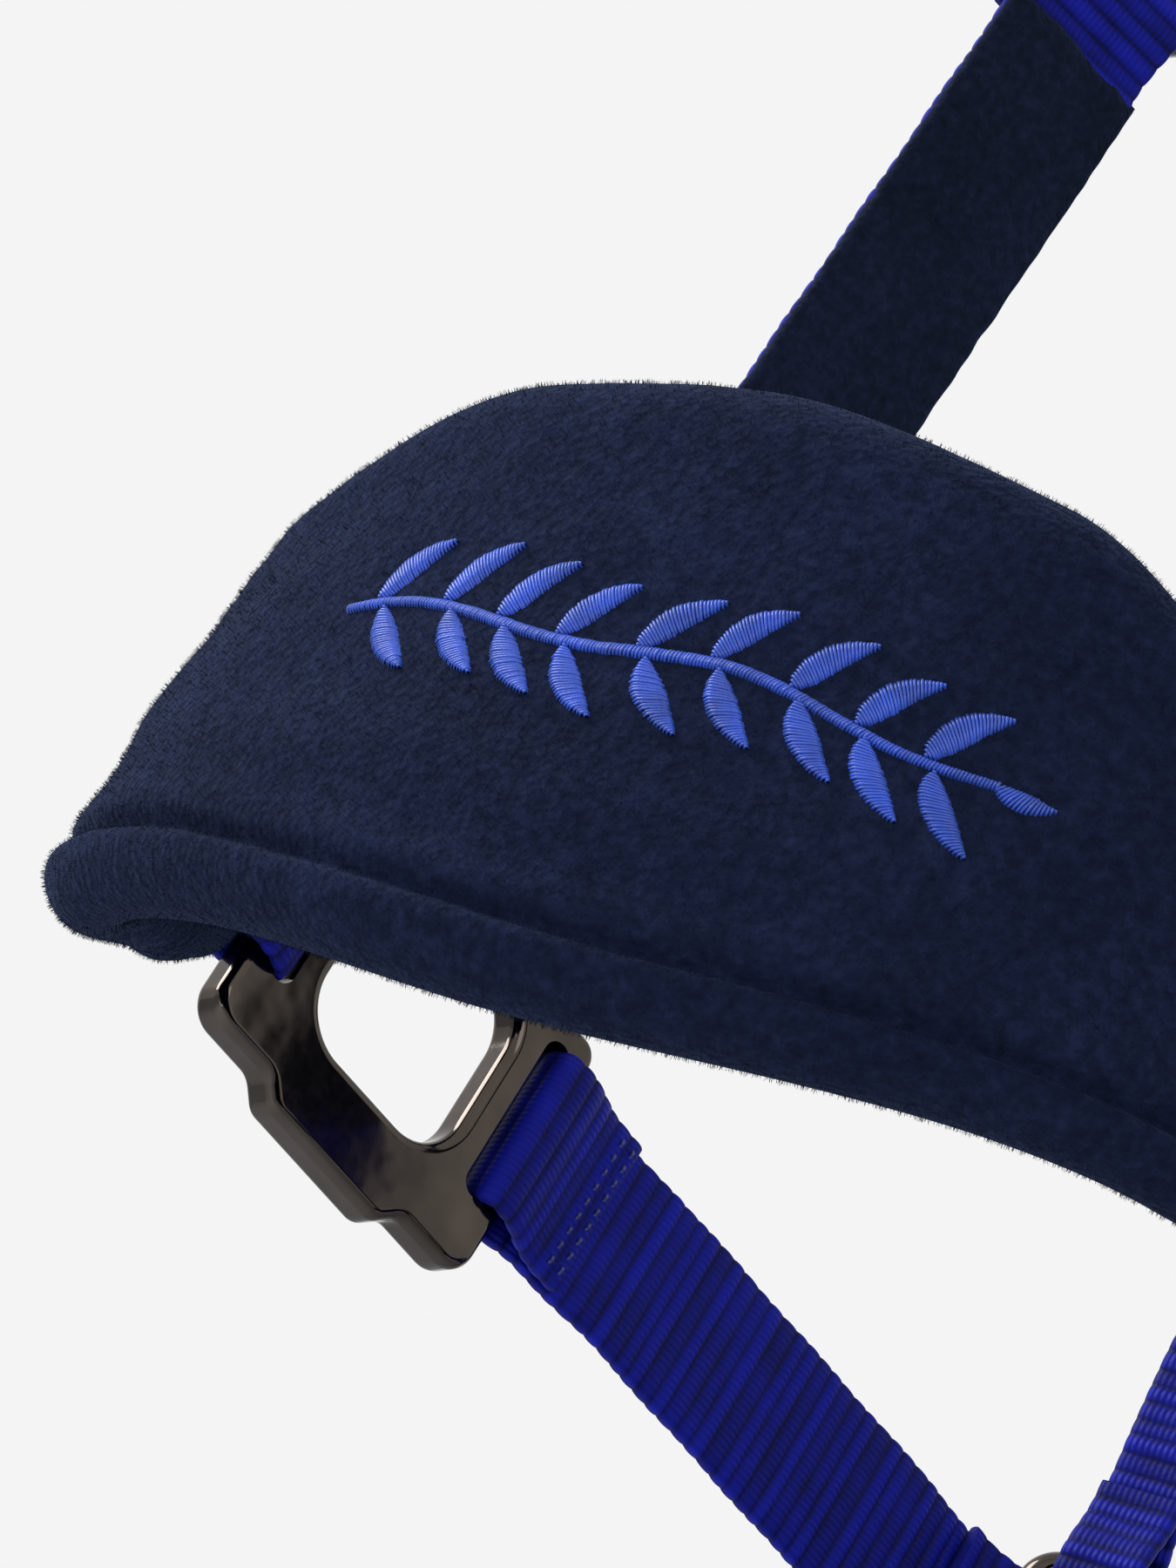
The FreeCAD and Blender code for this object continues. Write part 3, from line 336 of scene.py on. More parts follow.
def webbing_material(name, color):
    """Ribbed webbing: painted shade darkens the grooves between the ribs and painted light brightens
    their crowns; beaded yarns on the crowns.
    """
    shader = Shader(name)
    spread = shader.node("ShaderNodeUVMap", uv_map="strap").outputs["UV"]
    across = shader.node("ShaderNodeSeparateXYZ", {"Vector": spread}).outputs["Y"]
    # rib height per point: the mask for the painted shade in the grooves and the painted light on
    # the crowns
    crown = shader.node("ShaderNodeAttribute", attribute_name="rib").outputs["Fac"]
    turns = shader.math("MULTIPLY", across, 2 * math.pi / YARN_PITCH)
    yarns = shader.node("ShaderNodeMath", {0: turns}, operation="SINE").outputs[0]
    where = shader.place()
    wear = shader.noise(where, 140.0, 4.0, 0.6)
    lint = shader.noise(where, 1500.0, 2.0, 0.6)
    # tone mixes the painted groove shade and crown light with random wear and the yarn stripes
    tone = shader.blend(crown, 0.55, wear, 0.45)
    tone = shader.math("ADD", tone, shader.math("MULTIPLY", yarns, 0.05))
    # from painted shade in the grooves (darkest) up to painted light on the rib crowns (lightest)
    shader.color(shader.ramp(tone, [(0.30, shade(color, 0.22)), (0.62, shade(color, 0.95)),
                                    (0.88, shade(color, 1.5))]))
    beads = shader.math("MULTIPLY", yarns, crown)
    shader.bump(shader.blend(beads, 0.35, lint, 0.5), 0.6, 0.0003)
    shader.set(Roughness=0.55, Sheen_Weight=0.06, Sheen_Roughness=0.4,
               Sheen_Tint=(0.2, 0.25, 0.9, 1), Specular_IOR_Level=0.12)
    return shader.material


def metal_material(name, color, rough, patch):
    """Polished plating with faint casting waves and handling marks."""
    shader = Shader(name)
    where = shader.place()
    waves = shader.noise(where, 95.0, 2.0, 0.45)
    marks = shader.noise(where, 900.0, 5.0, 0.7)
    shader.color(shader.ramp(waves, [(0.3, shade(color, 0.8)), (0.7, shade(color, 1.25))]))
    roughness = shader.math("ADD", shader.math("MULTIPLY", marks, patch), rough)
    shader.links.new(roughness, shader.surface.inputs["Roughness"])
    shader.bump(waves, 0.16, 0.0008)
    shader.set(Metallic=1.0)
    return shader.material


def thread_material(name, color):
    """Glossy embroidery thread: rayon with a slight twist along each stitch."""
    shader = Shader(name)
    where = shader.place()
    twist = shader.noise(where, 2600.0, 2.0, 0.5)
    tone = shader.noise(where, 240.0, 2.0, 0.5)
    shader.color(shader.ramp(tone, [(0.3, shade(color, 0.75)), (0.7, shade(color, 1.3))]))
    shader.bump(twist, 0.35, 0.0001)
    shader.set(Roughness=0.36, Sheen_Weight=0.2, Sheen_Tint=(0.4, 0.6, 1.0, 1),
               Specular_IOR_Level=0.6)
    return shader.material


NAVY = (0.0068, 0.0105, 0.0300)
DEEP_NAVY = (0.0070, 0.0103, 0.0250)
WEB_BLUE = (0.0040, 0.0070, 0.2300)
THREAD_BLUE = (0.0130, 0.0580, 0.4300)
DARK_THREAD = (0.0080, 0.0110, 0.1300)
GUNMETAL = (0.070, 0.058, 0.050)
BRIGHT_STEEL = (0.32, 0.31, 0.30)

FLEECE = fleece_material("fleece", NAVY, 0.085)
LINING = fleece_material("lining", DEEP_NAVY, 0.08, 0.8)
WEBBING = webbing_material("webbing", WEB_BLUE)
METAL = metal_material("gunmetal", GUNMETAL, 0.05, 0.10)
STEEL = metal_material("steel", BRIGHT_STEEL, 0.16, 0.2)
THREAD = thread_material("embroidery_thread", THREAD_BLUE)
SEAM_THREAD = thread_material("seam_thread", DARK_THREAD)


def dress(obj, material, body="root"):
    """Material, slot and body of a piece."""
    obj.data.materials.clear()
    obj.data.materials.append(material)
    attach(obj, body)
    return obj


# ---- meshes

def mesh_object(name, vertices, faces):
    """A smooth-shaded mesh in the scene."""
    mesh = bpy.data.meshes.new(name)
    mesh.from_pydata([tuple(v) for v in vertices], [], faces)
    mesh.update()
    mesh.polygons.foreach_set("use_smooth", [True] * len(mesh.polygons))
    obj = bpy.data.objects.new(name, mesh)
    bpy.context.scene.collection.objects.link(obj)
    return obj


def ring_quads(base, rows, columns):
    """Quads between rings of points that follow each other from base."""
    quads = []
    for row in range(rows - 1):
        low = base + row * columns
        high = low + columns
        for column in range(columns):
            after = (column + 1) % columns
            quads.append((low + column, low + after, high + after, high + column))
    return quads


def grid_faces(rows, columns):
    """A tube of rings of points, each end closed by a strip of quads."""
    faces = ring_quads(0, rows, columns)
    for base, flip in ((0, True), ((rows - 1) * columns, False)):
        for index in range(columns // 2 - 1):
            quad = (base + index, base + index + 1,
                    base + columns - 2 - index, base + columns - 1 - index)
            faces.append(quad[::-1] if flip else quad)
    return faces


def thread_faces(base, rings, sides):
    """A thin tube of rings of points from base, each end closed by one face."""
    faces = ring_quads(base, rings, sides)
    faces.append(tuple(base + side for side in reversed(range(sides))))
    faces.append(tuple(base + (rings - 1) * sides + side for side in range(sides)))
    return faces


def spokes(count):
    """The cosine and sine of each point's angle round a section."""
    angles = [2 * math.pi * index / count for index in range(count)]
    return [(math.cos(angle), math.sin(angle)) for angle in angles]


def squarer(value, power):
    """A sine or cosine pushed outward, for a section with tighter corners."""
    return math.copysign(abs(value) ** power, value)


def smoothed(path, rounds=3):
    """Corner cutting of a path of (point, across) pairs, its ends kept."""
    for _ in range(rounds):
        result = [path[0]]
        for (p0, a0), (p1, a1) in zip(path, path[1:]):
            result.append((p0.lerp(p1, 0.25), a0.lerp(a1, 0.25)))
            result.append((p0.lerp(p1, 0.75), a0.lerp(a1, 0.75)))
        result.append(path[-1])
        path = result
    return path


def resampled(path, step):
    """Stations at an even spacing: point, along, across and distance from the start."""
    lengths = [0.0]
    for (p0, _), (p1, _) in zip(path, path[1:]):
        lengths.append(lengths[-1] + (p1 - p0).length)
    total = lengths[-1]
    count = max(4, int(round(total / step)) + 1)
    stations = []
    segment = 0
    for index in range(count):
        want = total * index / (count - 1)
        while segment < len(path) - 2 and lengths[segment + 1] < want:
            segment += 1
        span = max(1e-9, lengths[segment + 1] - lengths[segment])
        share = min(1.0, max(0.0, (want - lengths[segment]) / span))
        point = path[segment][0].lerp(path[segment + 1][0], share)
        across = unit(path[segment][1].lerp(path[segment + 1][1], share))
        stations.append((point, across, want))
    result = []
    for index, (point, across, distance) in enumerate(stations):
        before = stations[max(0, index - 1)][0]
        after = stations[min(count - 1, index + 1)][0]
        along = unit(after - before)
        across = unit(across - along * across.dot(along))
        result.append((point, along, across, distance))
    return result


FACE_STEPS = 14
EDGE_STEPS = 4


def band_profile():
    """(across from -1 to 1, side from -1 to 1) round a strap's section."""
    half = [(-1 + 2 * index / FACE_STEPS, 1.0) for index in range(FACE_STEPS + 1)]
    half += [(1.0, math.cos(math.pi * index / EDGE_STEPS)) for index in range(1, EDGE_STEPS)]
    return half + [(-share, -side) for share, side in half]


PROFILE = band_profile()


def rib_height(distance, seed):
    """Place between groove (0) and crown (1) of a cross rib, and that rib's own height."""
    slow = 0.10 * math.sin(distance / MM * 0.21 + seed)
    quick = 0.06 * math.sin(distance / MM * 0.83 + seed)
    phase = distance / RIB_PITCH + (slow + quick)
    crown = abs(math.sin(math.pi * phase)) ** 0.5
    tall = 0.78 + 0.22 * math.sin(2.4 * math.floor(phase) + seed * 3.1)
    return crown, tall


WEB_STEP = 0.30 * MM
RIB_RELIEF = 0.62 * MM
RIB_MEAN = 0.75
WEB_BOW = 0.22 * MM
SELVEDGE = 0.30 * MM
UNDERSIDE = 0.5  # keeps the two faces apart in the second strap coordinate


def webbing(name, path, width=WEB_WIDTH, thick=WEB_THICK, relief=RIB_RELIEF, step=WEB_STEP,
            body="root", rounds=3):
    """Woven strap along a path: ribs across it, scalloped selvedges, values for its yarns and for
    the painted shade in its grooves and painted light on its crowns.
    """
    stations = resampled(smoothed(path, rounds), step)
    seed = sum(ord(letter) for letter in name) % 17 * 0.37
    vertices = []
    spread = []
    crowns = []
    for point, along, across, distance in stations:
        normal = across.cross(along)
        crown, tall = rib_height(distance, seed)
        crowns += [crown * tall] * len(PROFILE)
        bow = WEB_BOW * math.sin(distance / MM * 0.047 + seed)
        wander = 0.008 * math.sin(distance / MM * 0.31 + seed)
        reach = width / 2 * (1 + 0.016 * (crown - 0.6) + wander)
        lift = relief * (crown * tall - RIB_MEAN)
        for share, side in PROFILE:
            edge = abs(share) ** 10
            half = (thick / 2) * (1 - 0.30 * edge) + lift * (1 - 0.6 * edge)
            out = across * share * reach
            if abs(side) < 1:
                out += across * math.copysign(SELVEDGE * math.sqrt(1 - side * side), share)
            vertices.append(point + out + normal * (side * half + bow * (1 - share * share)))
            spread.append((distance, share * width / 2 + (UNDERSIDE if side < 0 else 0.0)))
    obj = mesh_object(name, vertices, grid_faces(len(stations), len(PROFILE)))
    # each point's rib height, which the webbing material turns into painted shade in the grooves and
    # painted light on the crowns
    rib = obj.data.attributes.new("rib", "FLOAT", "POINT")
    rib.data.foreach_set("value", crowns)
    layer = obj.data.uv_layers.new(name="strap")
    for loop in obj.data.loops:
        layer.data[loop.index].uv = spread[loop.vertex_index]
    return dress(obj, WEBBING, body)


# ---- strap ends and routes

def tab_frame(place, slot, toward):
    """The frame of a strap end on a ring's slot bar, and the bar's half sizes in it."""
    ways = {"front": Vector((-1, 0, 0)), "rear": Vector((1, 0, 0)), "side": Vector((0, 1, 0))}
    axes = {"front": Y_AXIS, "rear": Y_AXIS, "side": X_AXIS}
    outward = turned(place, ways[slot])
    tab = bar_frame(place.translation + outward * BAR_CENTRE, toward, turned(place, axes[slot]))
    lean = turned(tab, X_AXIS).angle(outward)
    half_bar = RING_BAR / 2
    half_ring = RING_THICK / 2
    along = half_bar * math.cos(lean) + half_ring * math.sin(lean)
    deep = half_ring * math.cos(lean) + half_bar * math.sin(lean)
    return tab, along, deep


def fold(tab, bar_half, bar_depth, flap, flap_side=-1):
    """Path of a strap end: from the flap's cut end, round the bar, out to the strap."""
    inner_x = bar_half + GAP + WEB_THICK / 2
    inner_y = bar_depth + GAP + WEB_THICK / 2
    taper = bar_half + bar_depth + 2 * GAP + WEB_THICK * 1.6
    laid = WEB_THICK / 2 + 0.1 * MM
    start = bar_half + 0.5 * MM
    round_bar = [(start, 1.0), (-inner_x * 0.6, 1.0), (-inner_x, 0.6), (-inner_x, 0.0),
                 (-inner_x, -0.6), (-inner_x * 0.6, -1.0), (start, -1.0)]
    points = [(flap, laid), (taper, laid)]
    points += [(x, inner_y * share) for x, share in round_bar]
    points += [(taper, -laid), (flap - 2 * MM, -laid), (flap + 3 * MM, -laid * 0.6),
               (flap + 9 * MM, 0)]
    across = turned(tab, Z_AXIS)
    return [(at(tab, x, flap_side * y), across) for x, y in points]


def joined(first, last, middle):
    """A strap's path from one folded end to the other, its width turning on the way."""
    path = list(first) + list(middle)
    reference = path[-1][1]
    tail = list(reversed(last))
    if tail[0][1].dot(reference) < 0:
        tail = [(point, -across) for point, across in tail]
    return path + tail


def spaced(start, end, count):
    """Even stations between two path entries, to keep corner cutting away from them."""
    (p0, a0), (p1, a1) = start, end
    if a0.dot(a1) < 0:
        a1 = -a1
    return [(p0.lerp(p1, k / (count + 1)), unit(a0.lerp(a1, k / (count + 1))))
            for k in range(1, count + 1)]


def ring_fold(place, slot, toward, flap_side, flap=FLAP):
    """Path of a strap end folded round one of a ring's slot bars."""
    return fold(*tab_frame(place, slot, toward), flap, flap_side)


link_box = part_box("chin_link")
LINK_BAR = (LINK_WIDTH - LINK_WIRE) / 2
link_centre = (Vector(link_box[0]) + Vector(link_box[1])) / 2
WIRE = LINK_WIRE / 2


# ---- noseband pad

FRONT_RADIUS = 100.0 * MM
FRONT_TURN = math.radians(40)
SIDE_RADIUS = 57.0 * MM
FRONT_CENTRE_Y = -NOSE_REACH + FRONT_RADIUS
SIDE_CENTRE_X = (FRONT_RADIUS - SIDE_RADIUS) * math.sin(FRONT_TURN)
SIDE_CENTRE_Y = FRONT_CENTRE_Y - (FRONT_RADIUS - SIDE_RADIUS) * math.cos(FRONT_TURN)
NOSE_TILT = math.radians(12)
NOSE_LEAN = math.radians(18)
BEND_TUCK = 4.5 * MM


def step_between(value, low, high):
    """0 below low, 1 above high and an even, soft rise between."""
    share = min(1.0, max(0.0, (value - low) / (high - low)))
    return share * share * (3 - 2 * share)


def bell(value, middle, width):
    return math.exp(-((value - middle) / width) ** 2)


def nose_entry(turn, side):
    """Centre and height direction of the noseband where it has turned from straight across."""
    x, y, radius = 0.0, FRONT_CENTRE_Y, FRONT_RADIUS
    if turn > FRONT_TURN:
        x, y, radius = SIDE_CENTRE_X, SIDE_CENTRE_Y, SIDE_RADIUS
    point = Vector((x + radius * math.sin(turn), y - radius * math.cos(turn), RING_LEVEL))
    point.x -= BEND_TUCK * step_between(turn, math.radians(25), math.radians(70))
    tilt = NOSE_TILT * step_between(turn, math.radians(22), math.radians(64))
    outward = Vector((math.sin(turn), -math.cos(turn), 0))
    across = Z_AXIS * math.cos(tilt) - outward * math.sin(tilt)
    if side < 0:
        point.x = -point.x
        across.x = -across.x
    return point, across


def nose_tab(name):
    """Frame of the noseband's webbing end at a side ring."""
    forward = -turned(ring_place[name], X_AXIS)
    sideways = turned(ring_place[name], Z_AXIS)
    if sideways.x * SIDES[name] > 0:
        sideways = -sideways
    toward = forward * math.cos(NOSE_LEAN) + sideways * math.sin(NOSE_LEAN)
    return tab_frame(ring_place[name], "front", toward)


def nose_path():
    """The noseband's centreline from the off end to the near end."""
    halves = {}
    for name, side in SIDES.items():
        tab = nose_tab(name)[0]
        end = (at(tab, FLAP * 0.72, 0), turned(tab, Z_AXIS))
        turns = [math.radians(angle) for angle in range(86, 0, -6)]
        halves[name] = [end] + [nose_entry(turn, side) for turn in turns]
    return halves["off"] + [nose_entry(0.0, 1.0)] + list(reversed(halves["near"]))


PAD_ROW = 0.9 * MM
nose_line = resampled(smoothed(nose_path(), 3), PAD_ROW)
NOSE_HALF = nose_line[-1][3] / 2


# The pad's outline against the solids' plain pad, from the photograph
FRONT_DROP = 6.0 * MM
CROWN_DROP = 3.0 * MM
SIDE_DROP = 11.0 * MM
LOWER_DROP = 3.0 * MM
END_SPARE = 1.0 * MM


def pad_reach(place):
    """How far the pad goes above and below its centreline, at a signed distance along it."""
    far = abs(place) / NOSE_HALF
    ends = PAD_END_HEIGHT / 2 + END_SPARE
    front = PAD_HEIGHT / 2 - FRONT_DROP - CROWN_DROP * step_between(far, 0.0, 0.3)
    side = PAD_SIDE_HEIGHT / 2 - SIDE_DROP
    upper = front + (side - front) * step_between(far, 0.26, 0.54)
    upper += (ends - upper) * step_between(far, 0.56, 0.80)
    narrowing = (PAD_SIDE_HEIGHT - PAD_HEIGHT) / 2 * step_between(far, 0.0, 0.62)
    lower = PAD_HEIGHT / 2 + LOWER_DROP + narrowing
    lower += (ends - lower) * step_between(far, 0.60, 1.0)
    close = 1 - 0.75 * step_between(far, 0.965, 1.0) ** 2
    return upper * close, lower * close


def pad_half_thick(place):
    """Half the pad's thickness: full in front, thinner toward the rings, closed at its ends."""
    far = abs(place) / NOSE_HALF
    plump = 1 - 0.38 * step_between(far, 0.42, 0.8)
    close = math.sqrt(max(0.0, 1 - max(0.0, (far - 0.955) / 0.045) ** 2))
    return PAD_THICK / 2 * plump * (0.25 + 0.75 * close)


LIP = 8.0 * MM
FOLDS = (
    # place along, height, slope, width, lift and reach of a soft fold, in millimetres
    (-36.0, -21.0, -0.10, 6.0, 1.1, 24.0),
    (10.0, -26.0, -0.06, 7.0, 0.8, 30.0),
    (-62.0, 6.0, 0.55, 6.0, -1.1, 16.0),
    (-80.0, -10.0, 0.35, 7.0, 0.9, 14.0),
    (60.0, 10.0, -0.45, 7.0, -0.9, 18.0),
    (82.0, -6.0, 0.2, 7.0, 0.7, 16.0),
)
PUCKER_HALF = 44.0 * MM
PUCKER_HEIGHT = 10.5 * MM
PUCKER_DEPTH = 0.75 * MM
SEAM_DEPTH = 2.1 * MM
# Scale and depth of the fleece's unevenness, from soft swells to tufts
SWELLS = ((26.0, 0.9 * MM), (75.0, 0.42 * MM), (260.0, 0.16 * MM))


def pad_relief(place, height, low):
    """Outward relief of the pad's outer face: the seam, its lip, folds and a pucker."""
    lip_width = LIP * (1 - 0.25 * step_between(place, -0.02, 0.09))
    above = height + low - lip_width
    relief = -SEAM_DEPTH * bell(above, 0, 1.15 * MM)
    relief += 0.9 * MM * bell(above, -lip_width * 0.55, lip_width * 0.42)
    relief += 0.5 * MM * bell(above, 3.6 * MM, 2.6 * MM)
    for along, up, slope, width, lift, reach in FOLDS:
        offset = place / MM - along
        ridge = bell(height / MM - up - slope * offset, 0, width)
        relief += lift * MM * ridge * bell(offset, 0, reach)
    inside = bell(place, 0, PUCKER_HALF * 1.08) ** 0.8
    relief -= PUCKER_DEPTH * inside * bell(height, 0, PUCKER_HEIGHT)
    point = Vector((place, height, 0.37))
    for scale, depth in SWELLS:
        relief += depth * noise.noise(point * scale)
    return relief


def pad_section(place, half_thick, height, high, low, outer):
    """Offset of the pad's face from its centreline surface at a height."""
    reach = high if height > 0 else low
    bend = min(half_thick * 1.25, reach * 0.9)
    beyond = max(0.0, abs(height) - (reach - bend)) / bend
    profile = math.sqrt(max(0.0, 1 - min(1.0, beyond) ** 2))
    if not outer:
        return -half_thick * profile * 0.96
    share = height / reach
    crown = 1 + 0.14 * (1 - share * share)
    fade = profile ** 0.7
    return half_thick * profile * crown + pad_relief(place, height, low) * fade


def station_near(place):
    """The centreline's point, direction, height direction and outward direction."""
    index = (place + NOSE_HALF) / (2 * NOSE_HALF) * (len(nose_line) - 1)
    base = int(min(len(nose_line) - 2, max(0, math.floor(index))))
    share = index - base
    first = nose_line[base]
    second = nose_line[base + 1]
    point = first[0].lerp(second[0], share)
    along = unit(first[1].lerp(second[1], share))
    across = unit(first[2].lerp(second[2], share))
    return point, along, across, unit(along.cross(across))


def pad_point(place, height, lift=0.0):
    """A point on the pad's outer face, with its outward direction and tangents."""
    point, along, across, outward = station_near(place)
    high, low = pad_reach(place)
    offset = pad_section(place, pad_half_thick(place), height, high, low, True)
    return point + across * height + outward * (offset + lift), along, across, outward


OUTER_STEPS = 120
INNER_STEPS = 60


def noseband_pad():
    """The fleece cover: outer face, rolled edges and inner face in one closed skin."""
    vertices = []
    for point, along, across, distance in nose_line:
        place = distance - NOSE_HALF
        outward = unit(along.cross(across))
        high, low = pad_reach(place)
        half_thick = pad_half_thick(place)
        for steps, outer in ((OUTER_STEPS, True), (INNER_STEPS, False)):
            for index in range(steps):
                angle = math.pi * index / steps
                mix = squarer(math.cos(angle) if outer else -math.cos(angle), 0.85)
                height = mix * (high if mix > 0 else low)
                offset = pad_section(place, half_thick, height, high, low, outer)
                vertices.append(point + across * height + outward * offset)
    obj = mesh_object("noseband_pad", vertices,
                      grid_faces(len(nose_line), OUTER_STEPS + INNER_STEPS))
    dress(obj, FLEECE)
    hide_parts("noseband_cover", "noseband_foam")
    return obj


pad = noseband_pad()


# ---- straps

def noseband_web():
    """The noseband's own webbing, showing between the pad's ends and the rings."""
    for name, side in SIDES.items():
        loop = fold(*nose_tab(name), FLAP, 1 if side < 0 else -1)
        piece = webbing(f"{name}_noseband_end", loop)
        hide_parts("noseband_webbing")


CHIN_FLAP = 15.5 * MM


def chin_straps():
    """Ribbed webbing from each side ring's rear slot to the chin link."""
    for name, side in SIDES.items():
        way = turned(ring_place[name], X_AXIS)
        inner = -1 if side < 0 else 1
        first = ring_fold(ring_place[name], "rear", way, inner, CHIN_FLAP)
        bar = link_centre + X_AXIS * side * LINK_BAR
        last = fold(bar_frame(bar, -way, CHIN_ACROSS), WIRE, WIRE, FLAP, -inner)
        path = joined(first, last, spaced(first[-1], last[-1], 24))
        piece = webbing(f"{name}_chin_web", path)
        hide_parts(f"{name}_chin_strap")
        box_stitch(f"{name}_chin_stitch", first, inner)


STITCHES_PER_ROW = 9
ROW_PITCH = 2.2 * MM
FIRST_ROW = 1.4 * MM
STITCH_HALF = 0.78 * MM
STITCH_RADIUS = 0.30 * MM
STITCH_LIFT = 0.22 * MM
STITCH_SIDES = 6
STITCH_RINGS = 5


def box_stitch(name, loop, side):
    """Two rows of short stitches across a folded strap end."""
    entries = smoothed(loop, 3)
    start, across = entries[0]
    along = unit(entries[2][0] - start)
    normal = unit(across.cross(-along)) * side
    vertices = []
    faces = []
    for row in (0.0, ROW_PITCH):
        for index in range(STITCHES_PER_ROW):
            share = -0.82 + 1.64 * index / (STITCHES_PER_ROW - 1)
            centre = start + along * (FIRST_ROW + row) + across * share * WEB_WIDTH / 2
            centre += normal * (WEB_THICK / 2 + STITCH_LIFT)
            add_stitch(vertices, faces, centre, across * STITCH_HALF, normal)
    dress(mesh_object(name, vertices, faces), SEAM_THREAD)


def add_stitch(vertices, faces, centre, half, normal):
    """One short rounded stitch, its ends dipping into the cloth."""
    base = len(vertices)
    lateral = unit(unit(half).cross(normal))
    for ring in range(STITCH_RINGS):
        share = -1 + 2 * ring / (STITCH_RINGS - 1)
        dip = -normal * STITCH_RADIUS * 1.5 * share ** 4
        radius = STITCH_RADIUS * (1 - 0.45 * share ** 4)
        for sideways, outward in spokes(STITCH_SIDES):
            spoke = lateral * sideways + normal * outward
            vertices.append(centre + half * share + dip + spoke * radius)
    faces += thread_faces(base, STITCH_RINGS, STITCH_SIDES)


def cheek_way(name):
    return unit(upper_place[name].translation - ring_place[name].translation)


def cheek_straps():
    """Webbing outside and a fleece lining inside, a little wider than it."""
    for name, side in SIDES.items():
        way = cheek_way(name)
        inner = 1 if side < 0 else -1
        first = ring_fold(ring_place[name], "side", way, inner)
        last = ring_fold(upper_place[name], "front", -way, inner)
        middle = spaced(first[-1], last[-1], 30)
        piece = webbing(f"{name}_cheek_web", joined(first, last, middle))
        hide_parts(f"{name}_cheek_strap")
        lining(name, middle, inner)


LINING_RUN = 15.0 * MM
LINING_OVERHANG = 0.6 * MM
LINING_THICK = 3.4 * MM
LINING_SUNK = 0.6 * MM
LINING_ROW = 0.9 * MM
LINING_STEPS = 40


def lining(name, middle, inner):
    """A soft fleece facing on the inner side of a cheek strap, a little puffy and uneven."""
    reach = unit(middle[-1][0] - middle[0][0]) * LINING_RUN
    entries = middle[1:] + [(middle[-1][0] + reach, middle[-1][1])]
    stations = resampled(smoothed(entries, 2), LINING_ROW)
    vertices = []
    total = stations[-1][3]
    for point, along, across, distance in stations:
        normal = unit(across.cross(along))
        if normal.x * SIDES[name] > 0:
            normal = -normal
        close = math.sqrt(max(0.02, 1 - max(0.0, abs(distance / total * 2 - 1) - 0.96) / 0.04))
        for sideways, side in spokes(LINING_STEPS):
            share = squarer(sideways, 0.55)
            lump = noise.noise(Vector((distance * 55, share * 3, 3.0 * inner))) * 0.5 * MM
            ripple = noise.noise(Vector((distance * 210, share * 7, 9.0))) * 0.28 * MM
            edge = noise.noise(Vector((distance * 260, math.copysign(4.0, share), 1.0))) * 0.35 * MM
            wide = (WEB_WIDTH / 2 + LINING_OVERHANG + edge) * share
            high = LINING_THICK / 2 - LINING_SUNK + squarer(side, 0.7) * LINING_THICK / 2 * close
            if side > 0:
                high += (lump + ripple) * side
            vertices.append(point + across * wide + normal * high)
    obj = mesh_object(f"{name}_cheek_fleece", vertices, grid_faces(len(stations), LINING_STEPS))
    dress(obj, LINING)
    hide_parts(f"{name}_cheek_lining")


noseband_web()
chin_straps()
cheek_straps()


# ---- crown

POLL_RADIUS = 34.0 * MM
CROWN_PAD_THICK = 6.0 * MM
CROWN_PAD_WIDTH = 38.0 * MM
CROWN_RADIUS = POLL_RADIUS + CROWN_PAD_THICK + GAP + WEB_THICK / 2
ARCH_CENTRE = Vector((0, 0, -POLL_RADIUS))
crown_up = unit(ARCH_CENTRE + X_AXIS * CROWN_RADIUS - upper_place["near"].translation)
buckle_place = frame_at(upper_place["near"].translation, crown_up,
                        turned(upper_place["near"], Y_AXIS))
CROWN_STEP = 0.45 * MM
PLAY = 0.35 * MM
ROLLER = WIRE + 0.08 * MM + 1.4 * MM
UNDER = -(ROLLER + PLAY + WEB_THICK / 2)
LAID = WEB_THICK + PLAY + WEB_THICK / 2
OVER = WIRE + GAP + LAID
TIP_AT = BAR_CENTRE + 9.0 * MM
BILLET = (
    # the crown strap's free end: place along the buckle and height above its frame
    (BUCKLE_HIGH + 46 * MM, 0.0), (BUCKLE_HIGH + 5 * MM, UNDER), (BUCKLE_HIGH - 4 * MM, UNDER),
    (BUCKLE_LOW + 4 * MM, OVER), (BUCKLE_LOW - 5 * MM, OVER), (BUCKLE_LOW - 13 * MM, LAID),
    (TIP_AT + 8 * MM, LAID), (TIP_AT, LAID + 1.2 * MM))


ARCH_STEPS = 12


def arch(radius):
    """Entries over the poll, from the off side to the near side."""
    entries = []
    for step in range(ARCH_STEPS + 1):
        angle = math.radians(180 - 180 * step / ARCH_STEPS)
        spoke = Vector((math.cos(angle), 0, math.sin(angle)))
        entries.append((ARCH_CENTRE + spoke * radius, Y_AXIS))
    return entries


